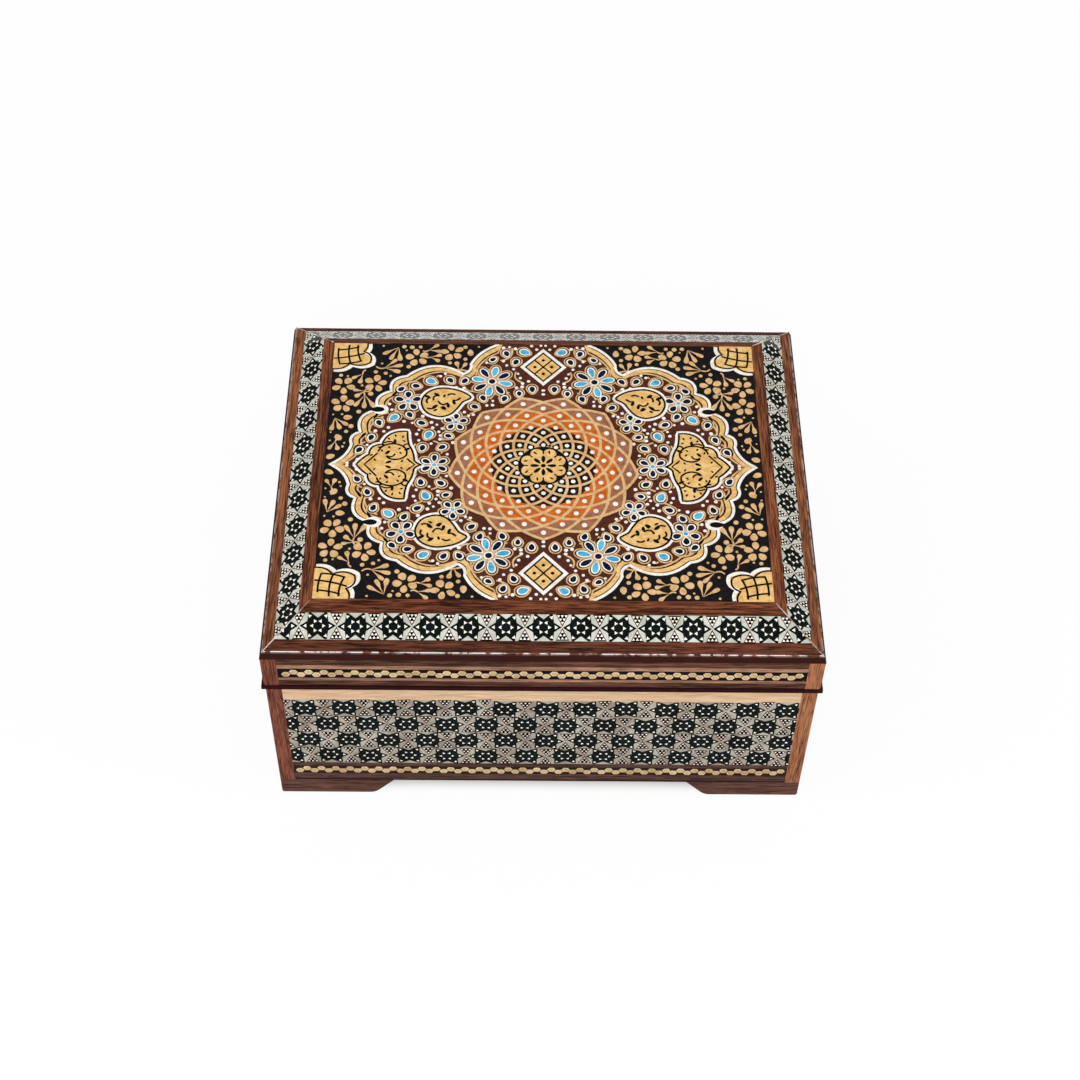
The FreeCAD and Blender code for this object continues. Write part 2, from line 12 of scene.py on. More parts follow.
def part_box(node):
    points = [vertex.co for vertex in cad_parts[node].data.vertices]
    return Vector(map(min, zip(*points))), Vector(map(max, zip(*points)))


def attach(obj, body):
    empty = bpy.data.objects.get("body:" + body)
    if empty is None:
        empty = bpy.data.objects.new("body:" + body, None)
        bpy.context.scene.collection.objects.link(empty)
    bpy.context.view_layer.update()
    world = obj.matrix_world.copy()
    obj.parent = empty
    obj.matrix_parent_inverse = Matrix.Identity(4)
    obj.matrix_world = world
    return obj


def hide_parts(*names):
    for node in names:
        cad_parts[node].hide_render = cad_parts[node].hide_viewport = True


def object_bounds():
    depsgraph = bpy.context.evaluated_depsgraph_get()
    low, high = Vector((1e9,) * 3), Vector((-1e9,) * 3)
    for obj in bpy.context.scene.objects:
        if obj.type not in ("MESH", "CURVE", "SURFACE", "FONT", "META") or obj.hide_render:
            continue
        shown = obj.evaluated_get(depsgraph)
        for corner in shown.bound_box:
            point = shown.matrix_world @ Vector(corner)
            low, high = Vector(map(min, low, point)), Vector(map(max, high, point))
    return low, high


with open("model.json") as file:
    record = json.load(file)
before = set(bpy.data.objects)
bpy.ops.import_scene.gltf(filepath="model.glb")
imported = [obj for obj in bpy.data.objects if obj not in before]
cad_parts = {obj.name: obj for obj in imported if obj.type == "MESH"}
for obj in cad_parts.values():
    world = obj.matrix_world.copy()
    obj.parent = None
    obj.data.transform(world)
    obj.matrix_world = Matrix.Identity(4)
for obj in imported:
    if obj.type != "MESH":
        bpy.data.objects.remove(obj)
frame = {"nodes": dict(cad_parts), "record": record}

# Inlaid wooden box: star marquetry, chain lines, a painted lid and velvet inside.
# Sizes are in metres. Patterns are drawn in millimetres and brought to metres when they are laid.

MM = 0.001
CAD_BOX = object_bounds()
SIDES = {"front": 0, "right": 90, "back": 180, "left": 270}

# Grain: how fast the wood's figure changes along X, Y and Z, per metre
ALONG_GRAIN = 60
ACROSS_GRAIN = 1100
GRAIN = {
    "x": (ALONG_GRAIN, ACROSS_GRAIN, ACROSS_GRAIN),
    "y": (ACROSS_GRAIN, ALONG_GRAIN, ACROSS_GRAIN),
    "z": (ACROSS_GRAIN, ACROSS_GRAIN, ALONG_GRAIN),
    "level": (ALONG_GRAIN, ALONG_GRAIN, ACROSS_GRAIN),
}


def srgb(red, green, blue):
    """A screen colour in steps of 0 to 255, as the linear colour that a shader takes."""

    def linear(step):
        share = step / 255
        return share / 12.92 if share <= 0.04045 else ((share + 0.055) / 1.055) ** 2.4

    return (linear(red), linear(green), linear(blue), 1.0)


class Shade:
    """A node's socket that takes part in Python expressions."""

    def __init__(self, graph, socket):
        self.graph = graph
        self.socket = socket

    def math(self, operation, other=0.0):
        return self.graph.node("ShaderNodeMath", {0: self, 1: other}, operation=operation)

    def __rsub__(self, other):
        return self * -1.0 + other

    __add__ = __radd__ = functools.partialmethod(math, "ADD")
    __sub__ = functools.partialmethod(math, "SUBTRACT")
    __mul__ = __rmul__ = functools.partialmethod(math, "MULTIPLY")
    __mod__ = functools.partialmethod(math, "MODULO")


class Graph:
    """A node tree that grows by one method."""

    def __init__(self, tree):
        self.tree = tree

    def put(self, socket, value):
        if isinstance(value, Shade):
            self.tree.links.new(value.socket, socket)
        else:
            socket.default_value = value

    def node(self, kind, sockets=None, out=0, **settings):
        """One output of a new node, which gets its settings first and then its sockets."""
        made = self.tree.nodes.new(kind)
        for name, value in settings.items():
            setattr(made, name, value)
        for name, value in (sockets or {}).items():
            self.put(made.inputs[name], value)
        return Shade(self, made.outputs[out])

    def place(self, scale=(1, 1, 1)):
        """Object coordinates, stretched."""
        spot = self.node("ShaderNodeTexCoord", out="Object")
        return self.node("ShaderNodeMapping", {"Vector": spot, "Scale": scale})

    def axis(self, letter):
        """One of the object coordinates."""
        return self.node("ShaderNodeSeparateXYZ", {0: self.place()}, out=letter)

    def noise(self, spot, scale, detail=3.0, distortion=0.0):
        sockets = {"Vector": spot, "Scale": scale, "Detail": detail, "Distortion": distortion}
        return self.node("ShaderNodeTexNoise", sockets)

    def mix(self, share, first, second):
        return self.node("ShaderNodeMix", {0: share, 6: first, 7: second}, out=2, data_type="RGBA")

    def between(self, value, low, high):
        """0 below low, 1 above high, and a smooth rise from one to the other."""
        sockets = {"Value": value, "From Min": low, "From Max": high}
        return self.node("ShaderNodeMapRange", sockets, interpolation_type="SMOOTHSTEP")

    def bump(self, height, depth, strength=0.5):
        return self.node("ShaderNodeBump", {"Height": height, "Distance": depth, "Strength": strength})


class Finish(Graph):
    """The node tree of a new material."""

    def __init__(self, name):
        self.material = bpy.data.materials.new(name)
        self.material.use_nodes = True
        super().__init__(self.material.node_tree)

    def done(self, sockets):
        """The material, with these sockets of its shader set."""
        shader = self.tree.nodes["Principled BSDF"]
        for name, value in sockets.items():
            self.put(shader.inputs[name], value)
        return self.material


THIN_COAT = 0.1
ARRIS_COAT = 0.04
VARNISH = {"Coat Weight": THIN_COAT, "Coat Roughness": 0.06, "Specular IOR Level": 0.0}
THICK_VARNISH = {"Coat IOR": 2.0, "Coat Roughness": 0.03}
PORE_SHADE = 0.3
# The back slope of the lid starts behind this place and above this height. Its varnish is thick
BACK_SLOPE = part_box("back_inner_moulding")[1].y
LID_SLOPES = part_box("back_outer_moulding")[1].z - MM


def varnished_wood(graph, pale, dark, grain, pore_share):
    """A broad figure, fibres and fine streaks between two tones, with dark pores."""
    spot = graph.place(GRAIN[grain])
    figure = graph.noise(spot, 0.16, 3.0, 0.8)
    fibre = graph.noise(spot, 1.1, 4.0, 0.3)
    streak = graph.between(graph.noise(spot, 2.4, 2.0), 0.41, 0.59)
    pores = graph.between(graph.noise(spot, 2.7, 1.0), 0.53, 0.62)
    tone = graph.between(figure * 0.4 + fibre * 0.6, 0.39, 0.61)
    colour = graph.mix(tone * 0.6 + streak * 0.4, srgb(*dark), srgb(*pale))
    pore_colour = [channel * PORE_SHADE for channel in srgb(*dark)[:3]] + [1.0]
    return {
        **VARNISH,
        "Base Color": graph.mix(pores * pore_share, colour, pore_colour),
        "Roughness": 0.34 + 0.14 * fibre + 0.12 * pores,
        "Normal": graph.bump(fibre - pores * 0.5, 0.00004, 0.35),
    }


def dark_lip(graph, sockets, height, edge_shade):
    """Give a wood a painted shade along its lower edge."""
    above = graph.between(graph.axis("Z"), height - 0.15 * MM, height + 0.15 * MM)
    sockets["Base Color"] = graph.mix(above, edge_shade, sockets["Base Color"])


def glossy_arris(graph, sockets, arris, nosing_shade):
    """Give a wood a broken run of thick varnish along its rounded edge, and a painted shade on the face
    below it.
    """
    height = graph.axis("Z")
    above = graph.between(height, arris - 0.5 * MM, arris - 0.1 * MM)
    run = above - graph.between(height, arris + 0.2 * MM, arris + 0.35 * MM)
    broken = graph.between(graph.noise(graph.place(), 420, 3.0), 0.42, 0.54)
    # Painted shade: the face below the rounded edge is coloured dark
    sockets["Base Color"] = graph.mix(above, nosing_shade, sockets["Base Color"])
    sockets["Coat Weight"] = ARRIS_COAT + (1 - ARRIS_COAT) * run * broken
    sockets.update(THICK_VARNISH)


def inlay_piece(name, colour, shade):
    """Bone or dyed wood of one colour, with the small changes from piece to piece under varnish."""
    graph = Finish(name)
    spot = graph.place()
    behind = graph.between(graph.axis("Y"), BACK_SLOPE - 0.5 * MM, BACK_SLOPE)
    on_lid = graph.between(graph.axis("Z"), LID_SLOPES, LID_SLOPES + 0.5 * MM)
    patch = graph.noise(spot, 210, 2.0)
    fleck = graph.noise(spot, 2400, 3.0)
    tone = graph.between(patch * 0.7 + fleck * 0.3, 0.36, 0.64)
    return graph.done({
        **VARNISH,
        "Base Color": graph.mix(tone, srgb(*shade), srgb(*colour)),
        "Coat Weight": THIN_COAT + (1 - THIN_COAT) * behind * on_lid,
        "Roughness": 0.36 + 0.12 * fleck,
        "Normal": graph.bump(fleck, 0.00003, 0.3),
    })


def brushed_paint(name, colour, shade):
    """Body colour laid on with a brush: thicker and thinner streaks under varnish."""
    graph = Finish(name)
    pool = graph.noise(graph.place(), 330, 2.0, 1.5)
    streak = graph.noise(graph.place((700, 2300, 700)), 1.0, 3.0)
    tone = graph.between(pool * 0.65 + streak * 0.35, 0.34, 0.62)
    return graph.done({
        **VARNISH,
        "Base Color": graph.mix(tone, srgb(*shade), srgb(*colour)),
        "Roughness": 0.38 + 0.14 * streak,
        "Normal": graph.bump(pool * 0.6 + streak * 0.4, 0.00005, 0.4),
    })


def polished_brass(name, clean, tarnished):
    """Brass with fine scratches and darker patches."""
    graph = Finish(name)
    scratch = graph.noise(graph.place((300, 2600, 2600)), 1.0, 4.0)
    tarnish = graph.between(graph.noise(graph.place(), 260, 3.0), 0.45, 0.75)
    return graph.done({
        "Metallic": 1.0,
        "Base Color": graph.mix(tarnish, srgb(*clean), srgb(*tarnished)),
        "Roughness": 0.2 + 0.16 * scratch + 0.15 * tarnish,
        "Normal": graph.bump(scratch, 0.00002, 0.3),
    })


def velvet_pile(name, colour, shade, sheen):
    """Short pile, brushed a little lighter and darker."""
    graph = Finish(name)
    spot = graph.place()
    brushed = graph.noise(spot, 90, 4.0, 0.4)
    pile = graph.noise(spot, 2600, 2.0)
    tone = graph.between(brushed * 0.22 + pile * 0.78, 0.34, 0.66)
    return graph.done({
        "Sheen Weight": sheen,
        "Sheen Roughness": 0.35,
        "Sheen Tint": srgb(190, 90, 100),
        "Specular IOR Level": 0.08,
        "Base Color": graph.mix(tone, srgb(*shade), srgb(*colour)),
        "Roughness": 0.82 + 0.12 * pile,
        "Normal": graph.bump(pile, 0.0001, 0.6),
    })


# Finishes
IVORY = inlay_piece("ivory_inlay", (254, 250, 240), (238, 230, 212))
LID_GREY = inlay_piece("lid_grey_inlay", (207, 208, 198), (176, 178, 165))
BODY_GREY = inlay_piece("body_grey_inlay", (174, 169, 155), (136, 127, 113))
OUTLINE_BROWN = inlay_piece("brown_inlay", (120, 72, 50), (82, 46, 32))
INLAY_BLACK = inlay_piece("black_inlay", (13, 10, 9), (6, 5, 4))
CHAIN_GROUND = inlay_piece("chain_ground_inlay", (46, 30, 24), (26, 17, 14))
STAR_GREEN = inlay_piece("star_green_inlay", (10, 20, 18), (4, 9, 8))
STAR_BLUE = inlay_piece("star_blue_inlay", (10, 24, 32), (6, 13, 18))
CHAIN_CREAM = inlay_piece("chain_cream_inlay", (200, 172, 130), (168, 138, 98))
# Painted highlight: pale patches on the varnish along the lid's mitres
MITRE_PAINTED_HIGHLIGHT = inlay_piece("mitre_gloss", (232, 226, 216), (120, 84, 66))
CHAIN_RIM = inlay_piece("chain_rim_inlay", (226, 202, 164), (196, 168, 128))

GOLD = brushed_paint("gold_paint", (238, 198, 130), (212, 164, 92))
TAN = brushed_paint("tan_paint", (226, 188, 138), (202, 158, 104))
WHITE = brushed_paint("white_paint", (250, 246, 238), (228, 218, 206))
BLACK = brushed_paint("black_paint", (18, 15, 15), (8, 7, 7))
TURQUOISE = brushed_paint("turquoise_paint", (96, 190, 222), (50, 150, 190))
NAVY = brushed_paint("navy_paint", (22, 28, 50), (10, 13, 26))
ORANGE = brushed_paint("orange_paint", (208, 112, 44), (176, 84, 30))
MAUVE = brushed_paint("mauve_paint", (167, 113, 84), (139, 87, 62))
MAROON = brushed_paint("maroon_paint", (86, 43, 31), (66, 32, 23))
UMBER = brushed_paint("umber_paint", (48, 26, 19), (30, 16, 12))
SPANDREL = brushed_paint("spandrel_lacquer", (27, 23, 24), (15, 13, 14))
VELVET = velvet_pile("maroon_velvet", (104, 18, 33), (62, 9, 20), 0.32)
RIM_VELVET = velvet_pile("dark_rim_velvet", (52, 15, 18), (28, 7, 9), 0.08)
BRASS = polished_brass("hinge_brass", (214, 172, 96), (150, 112, 62))

WOOD_TONES = {
    "inner_front": ((136, 78, 50), (48, 21, 13)),
    "inner_side": ((154, 90, 57), (60, 29, 19)),
    "outer_front": ((112, 63, 44), (38, 18, 13)),
    "outer_side": ((166, 104, 68), (74, 39, 26)),
    "rail_wood": ((110, 71, 55), (50, 30, 22)),
    "post_wood": ((172, 114, 78), (118, 72, 48)),
    # Painted shade: a darker copy of the post wood for the left posts
    "shaded_post": ((136, 80, 61), (82, 44, 34)),
    "base_wood": ((100, 70, 60), (56, 37, 32)),
    "foot_wood": ((111, 75, 62), (70, 45, 37)),
    "carcase_wood": ((186, 146, 104), (150, 112, 76)),
    "pale_strip": ((220, 188, 155), (195, 161, 127)),
    "string_wood": ((176, 134, 108), (132, 92, 72)),
}
PORE_SHARE = {"pale_strip": 0.2}
COMMON_PORE_SHARE = 0.7
ARRIS_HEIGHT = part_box("front_outer_moulding")[0].z + 2.2 * MM
# Painted shade for the outer moulding's face below its rounded edge
NOSING_PAINTED_SHADE = srgb(47, 19, 15)
# Painted shade along the lower edge of the base bands, where the underside falls in shadow
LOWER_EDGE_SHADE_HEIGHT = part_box("front_base_band")[0].z + 0.8 * MM
LOWER_EDGE_PAINTED_SHADE = srgb(38, 18, 16)


@functools.cache
def wood(tone, grain):
    """Varnished wood of one tone, with its fibres along the grain."""
    graph = Finish(f"{tone}_{grain}")
    sockets = varnished_wood(graph, *WOOD_TONES[tone], grain, PORE_SHARE.get(tone, COMMON_PORE_SHARE))
    if tone == "base_wood":
        dark_lip(graph, sockets, LOWER_EDGE_SHADE_HEIGHT, LOWER_EDGE_PAINTED_SHADE)
    if tone.startswith("outer"):
        glossy_arris(graph, sockets, ARRIS_HEIGHT, NOSING_PAINTED_SHADE)
    return graph.done(sockets)


PLAIN_FINISHES = {
    "chain_inlay": INLAY_BLACK,
    "painted_lacquer": SPANDREL,
    "velvet": VELVET,
    "brass": BRASS,
}


def solid_finish(node, slot):
    """The finish of a solid: woods by slot and by the way their grain runs."""
    if node == "base_chain_inlays":
        return CHAIN_GROUND
    if slot in PLAIN_FINISHES:
        return PLAIN_FINISHES[slot]
    if slot == "star_marquetry":
        return BODY_GREY if node.endswith("panel") else LID_GREY
    if slot == "post_wood":
        # The left posts take the darker copy of the post wood, a painted shade
        return wood("shaded_post" if "left" in node else slot, "z")
    if slot == "moulding_wood":
        border = "inner" if "inner" in node else "outer"
        if node.startswith(("front", "back")):
            return wood(f"{border}_front", "x")
        return wood(f"{border}_side", "y")
    return wood("string_wood" if node == "lid_stringing" else slot, "level")


for part in frame["record"]["subparts"]:
    look = solid_finish(part["node"], part["material_slot"])
    frame["nodes"][part["node"]].material_slots[0].material = look


def polar(radius, angle, x=0.0, y=0.0):
    """The point at a distance and an angle from x, y."""
    return x + radius * math.cos(angle), y + radius * math.sin(angle)


def round_outline(x, y, radius, sides=12, turn=0.0):
    """A regular outline round a point."""
    return [polar(radius, turn + step * math.tau / sides, x, y) for step in range(sides)]


def runs_left(outline):
    """True for an outline that runs anticlockwise."""
    return sum(a[0] * b[1] - b[0] * a[1] for a, b in zip(outline, outline[1:] + outline[:1])) > 0


def prism_faces(count, start=0):
    """The faces of a prism: its lower ring, its upper ring and its sides."""
    faces = [range(count - 1, -1, -1), range(count, 2 * count)]
    for index in range(count):
        after = (index + 1) % count
        faces.append((index, after, count + after, count + index))
    return [[start + corner for corner in face] for face in faces]


# Thin pieces
class Relief:
    """Thin pieces with flat tops, gathered into one mesh. Outlines are in millimetres."""

    def __init__(self):
        self.points = []
        self.faces = []

    def slab(self, outline, low, high, inset=0.0):
        """A closed slab from low to high, its top drawn in by a share of its size."""
        ring = outline if runs_left(outline) else outline[::-1]
        count = len(ring)
        middle = [sum(axis) / count for axis in zip(*ring)]
        self.faces += prism_faces(count, len(self.points))
        for x, y in ring:
            self.points.append((x, y, low))
        for x, y in ring:
            self.points.append((x + (middle[0] - x) * inset, y + (middle[1] - y) * inset, high))

    def band(self, left, right, low, high, closed):
        """A closed ribbon between two lines of points."""
        start = len(self.points)
        for (lx, ly), (rx, ry) in zip(left, right):
            self.points += [(lx, ly, low), (rx, ry, low), (rx, ry, high), (lx, ly, high)]
        count = len(left)
        for index in range(count if closed else count - 1):
            here = start + 4 * index
            there = start + 4 * ((index + 1) % count)
            for side in range(4):
                after = (side + 1) % 4
                self.faces.append((here + side, there + side, there + after, here + after))
        if not closed:
            last = start + 4 * (count - 1)
            self.faces.append((start, start + 1, start + 2, start + 3))
            self.faces.append((last + 3, last + 2, last + 1, last))

    def mesh(self, name):
        made = bpy.data.meshes.new(name)
        made.from_pydata([[MM * axis for axis in point] for point in self.points], [], self.faces)
        made.validate()
        return made


def smooth_shells(name, shells):
    """One mesh of closed shells, each given as its points and faces."""
    points = []
    faces = []
    for more_points, more_faces in shells:
        faces += [[len(points) + corner for corner in face] for face in more_faces]
        points += more_points
    mesh = bpy.data.meshes.new(name)
    mesh.from_pydata(points, [], faces)
    mesh.shade_smooth()
    return mesh


def in_scene(name, data):
    """A new object, linked to the scene."""
    made = bpy.data.objects.new(name, data)
    bpy.context.scene.collection.objects.link(made)
    return made


def piece(name, mesh, look, body):
    """A finished piece: in the scene, dressed and riding on its body."""
    made = in_scene(name, mesh)
    mesh.materials.clear()
    mesh.materials.append(look)
    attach(made, body)
    return made


# Faces of the box that carry inlay
class Face:
    """A flat side: u runs along it, v up it and w out of it, from the middle of its lower edge."""

    def __init__(self, turn, low, high, half_low, half_high):
        rise = (high - low).normalized()
        along = Vector((1, 0, 0))
        out = along.cross(rise)
        drawn = Matrix((along, rise, out)).transposed().to_4x4()
        drawn.translation = low
        self.matrix = Matrix.Rotation(math.radians(turn), 4, "Z") @ drawn
        self.height = (high - low).length
        self.half_low = half_low
        self.half_high = half_high

    def clip(self, mesh):
        """Cut a pattern in u and v at the two ends of this face."""
        shape = bmesh.new()
        shape.from_mesh(mesh)
        for sign in (-1, 1):
            foot = Vector((sign * self.half_low, 0, 0))
            lean = Vector((sign * (self.half_high - self.half_low), self.height, 0))
            outward = lean.cross(Vector((0, 0, 1))) * sign
            everything = shape.verts[:] + shape.edges[:] + shape.faces[:]
            cut = bmesh.ops.bisect_plane(
                shape, geom=everything, plane_co=foot, plane_no=outward, clear_outer=True
            )
            rim = [item for item in cut["geom_cut"] if isinstance(item, bmesh.types.BMEdge)]
            bmesh.ops.holes_fill(shape, edges=rim, sides=0)
        shape.to_mesh(mesh)
        shape.free()


def box_of(points):
    """The lowest and the highest corner of the box round some points."""
    return [Vector([pick(axis) for axis in zip(*points)]) for pick in (min, max)]


def turned_back(node, turn):
    """The corners of a node's box once its side is turned to the front."""
    back = Matrix.Rotation(math.radians(-turn), 3, "Z")
    return box_of([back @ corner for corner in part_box(node)])


def upright_face(side, node, inlay):
    """The outer face of a node that stands on one side of the box, as far up as its inlay goes."""
    turn = SIDES[side]
    low, high = turned_back(node, turn)
    ends = [Vector((0, low.y, corner.z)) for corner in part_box(inlay)]
    return Face(turn, *ends, high.x, high.x)


def lid_star_face(side):
    """The slope of one khatam border of the lid."""
    turn = SIDES[side]
    low, high = turned_back(f"{side}_khatam_border", turn)
    lower_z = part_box(f"{side}_outer_moulding")[1].z
    half_high = high.x - (high.y - low.y)
    return Face(turn, Vector((0, low.y, lower_z)), Vector((0, high.y, high.z)), high.x, half_high)


# Pieces laid in rows
ROW_INPUTS = {
    "Piece": "Object",
    "Columns": "Int",
    "Rows": "Int",
    "Pitch": "Float",
    "Row height": "Float",
    "Row shift": "Float",
    "Column swing": "Float",
    "Stray": "Float",
    "Stray turn": "Float",
    "Seed": "Int",
    "Finish": "Material",
}


def rows_tree():
    """Copies of one piece. Odd rows shift along, odd columns swing across, and each strays a little."""
    tree = bpy.data.node_groups.new("laid_in_rows", "GeometryNodeTree")
    for name, kind in ROW_INPUTS.items():
        tree.interface.new_socket(name=name, in_out="INPUT", socket_type=f"NodeSocket{kind}")
    tree.interface.new_socket(name="Geometry", in_out="OUTPUT", socket_type="NodeSocketGeometry")
    graph = Graph(tree)
    group_input = tree.nodes.new("NodeGroupInput")
    given = {name: Shade(graph, group_input.outputs[name]) for name in ROW_INPUTS}
    odd = graph.node("GeometryNodeInputIndex") % 2

    def vector(x=0.0, y=0.0, z=0.0):
        return graph.node("ShaderNodeCombineXYZ", {"X": x, "Y": y, "Z": z})

    def line(count, step, offset):
        points = graph.node("GeometryNodeMeshLine", {"Count": count, "Offset": step}, mode="OFFSET")
        return graph.node("GeometryNodeSetPosition", {"Geometry": points, "Offset": offset})

    def stray(amount, seed_shift):
        sockets = {2: -1 * amount, 3: amount, "Seed": given["Seed"] + seed_shift}
        return graph.node("FunctionNodeRandomValue", sockets, out=1, data_type="FLOAT")

    def copies(points, shape):
        return graph.node("GeometryNodeInstanceOnPoints", {"Points": points, "Instance": shape})

    columns = line(given["Columns"], vector(x=given["Pitch"]), vector(y=odd * given["Column swing"]))
    rows = line(given["Rows"], vector(y=given["Row height"]), vector(x=odd * given["Row shift"]))
    grid = graph.node("GeometryNodeRealizeInstances", {0: copies(rows, columns)})
    shape = graph.node("GeometryNodeObjectInfo", {"Object": given["Piece"]}, out="Geometry")
    shift = vector(stray(given["Stray"], 0), stray(given["Stray"], 1))
    strewn = graph.node("GeometryNodeSetPosition", {"Geometry": grid, "Offset": shift})
    twist = vector(z=stray(given["Stray turn"], 2))
    laid = copies(strewn, shape)
    turned = graph.node("GeometryNodeRotateInstances", {"Instances": laid, "Rotation": twist})
    solid = graph.node("GeometryNodeRealizeInstances", {0: turned})
    dressed = graph.node("GeometryNodeSetMaterial", {"Geometry": solid, "Material": given["Finish"]})
    group_output = tree.nodes.new("NodeGroupOutput")
    graph.put(group_output.inputs["Geometry"], dressed)
    return tree


ROWS_TREE = rows_tree()


def laid_in_rows(relief, look, sizes):
    """A mesh of one piece repeated in rows, in u and v, in metres. A size that isn't given is 0."""
    model = in_scene("model", relief.mesh("model"))
    carrier = in_scene("carrier", bpy.data.meshes.new("carrier"))
    modifier = carrier.modifiers.new("rows", "NODES")
    modifier.node_group = ROWS_TREE
    values = {"Piece": model, "Finish": look, **sizes}
    for item in ROWS_TREE.interface.items_tree:
        if item.in_out == "INPUT" and item.name in values:
            modifier[item.identifier] = values[item.name]
    bpy.context.view_layer.update()
    laid = bpy.data.meshes.new_from_object(carrier.evaluated_get(bpy.context.evaluated_depsgraph_get()))
    for item in (carrier, model):
        bpy.data.objects.remove(item)
    return laid


def lay_on_faces(name, relief, look, body, faces, layout):
    """One piece of a pattern on all the faces, as one mesh. layout(face) gives start and sizes."""
    joined = bmesh.new()
    for face in faces:
        start, sizes = layout(face)
        laid = laid_in_rows(relief, look, sizes)
        laid.transform(Matrix.Translation(start))
        face.clip(laid)
        laid.transform(face.matrix)
        joined.from_mesh(laid)
        bpy.data.meshes.remove(laid)
    mesh = bpy.data.meshes.new(name)
    joined.to_mesh(mesh)
    joined.free()
    piece(name, mesh, look, body)


# Star marquetry: one star and the node to its right, drawn in shares of half a pitch and half a row
LID_STAR = [(0, 0.62), (0.37, 1), (0.50, 1), (0.56, 0.36), (0.97, 0)]
BODY_STAR = [(0, 0.68), (0.43, 1), (0.57, 0.97), (0.55, 0.36), (0.92, 0)]
STAR_HEART = 0.17
STAR_RING = (0.30, 0.40)
STAR_TIP = 0.66
STAR_ARM = (0.43, 0.74)
NODE_HALF = 0.36
NODE_APEX = 0.04
NODE_GROUND = (0.86, 0.9)
NODE_IVORY_ROWS = {0.84: (-0.2, 0, 0.2), 0.59: (-0.1, 0.1), 0.34: (0,)}
INLAY_LOOKS = {
    "star": (STAR_GREEN, 0.02),
    "edge": (OUTLINE_BROWN, 0.02),
    "ground": (INLAY_BLACK, 0.03),
    "heart": (STAR_BLUE, 0.03),
    "ivory": (IVORY, 0.04),
}
INLAY_SUNK = -0.05
SPARE_COLUMNS = 4
STRAY_TURN = 0.2
STAR_SEED = 3


def all_round(quarter):
    """A whole outline from its upper right quarter, top first."""
    right = quarter + [(x, -y) for x, y in quarter[-2::-1]]
    return right + [(-x, y) for x, y in right[-2:0:-1]]


def star_pieces(star, across, up, star_ivory, node_ivory):
    """The outlines of one tile by kind, in millimetres. across is half a pitch, and up half a row."""
    parts = {kind: [] for kind in INLAY_LOOKS}

    def add(kind, points):
        parts[kind].append([(x * across, y * up) for x, y in points])

    def add_ivory(x, y, turn, size):
        parts["ivory"].append(round_outline(x * across, y * up, size, 3, turn))

    add("star", all_round(star))
    add("heart", round_outline(0, 0, STAR_HEART, 6))
    for step in range(6):
        turn = step * math.tau / 6
        add_ivory(STAR_RING[0] * math.cos(turn), STAR_RING[1] * math.sin(turn), turn, star_ivory)
    for way in (-1, 1):
        add_ivory(way * STAR_TIP, 0, math.pi / 2 - way * math.pi / 2, star_ivory)
        for sign in (-1, 1):
            add_ivory(way * STAR_ARM[0], sign * STAR_ARM[1], math.atan2(sign, way), star_ivory)
    for sign in (-1, 1):
        node = [(1, NODE_APEX), (1 - NODE_HALF, 1), (1 + NODE_HALF, 1)]
        add("edge", [(x, sign * y) for x, y in node])
        wide, tall = NODE_GROUND
        add("ground", [(1 + (x - 1) * wide, sign * (1 - (1 - y) * tall)) for x, y in node])
        for height, places in NODE_IVORY_ROWS.items():
            for place in places:
                add_ivory(1 + place, sign * height, -sign * math.pi / 2, node_ivory)
    return parts


def star_marquetry(prefix, body, faces, star, ivory, pitch, rows, start_of, stray):
    """Rows of stars on the faces. ivory gives the sizes of the triangles in stars and in nodes."""
    row = faces[0].height / rows / MM

    def layout(face):
        start = Vector((start_of(face) - pitch * MM, row * MM / 2, 0))
        sizes = {
            "Columns": int(2 * face.half_low / MM / pitch) + SPARE_COLUMNS,
            "Rows": rows,
            "Pitch": pitch * MM,
            "Row height": row * MM,
            "Row shift": pitch * MM / 2,
            "Stray": stray * MM,
            "Stray turn": STRAY_TURN * stray,
            "Seed": STAR_SEED,
        }
        return start, sizes

    for kind, outlines in star_pieces(star, pitch / 2, row / 2, *ivory).items():
        look, proud = INLAY_LOOKS[kind]
        relief = Relief()
        for outline in outlines:
            relief.slab(outline, INLAY_SUNK, proud)
        lay_on_faces(f"{prefix}_{kind}_inlay", relief, look, body, faces, layout)


LID_STAR_PITCH = 10.6
star_marquetry(
    "body_star", "box",
    [upright_face(side, f"{side}_khatam_panel", f"{side}_khatam_panel") for side in SIDES],
    star=BODY_STAR, ivory=(0.5, 0.4), pitch=11.7, rows=4, stray=0.32,
    start_of=lambda face: -face.half_low,
)
star_marquetry(
    "lid_star", "lid", [lid_star_face(side) for side in SIDES],
    star=LID_STAR, ivory=(0.6, 0.48), pitch=LID_STAR_PITCH, rows=1, stray=0.1,
    start_of=lambda face: -(face.half_low // (LID_STAR_PITCH * MM)) * LID_STAR_PITCH * MM,
)

# Chain lines: six-sided beads in a zigzag, each with a pale rim
BEAD_WIDTH = 2.75
BEAD_HEIGHT = 2.2
BEAD_PITCH = 2.18
BEAD_SWING = 1.15
BEAD_LAYERS = {"rim": (1.0, 0.08, CHAIN_RIM), "heart": (0.74, 0.12, CHAIN_CREAM)}
BEAD_SUNK = -0.2
BEAD_INSET = 0.1
BEAD_STRAY = 0.05
BEAD_STRAY_TURN = 0.06
BEAD_SEED = 5


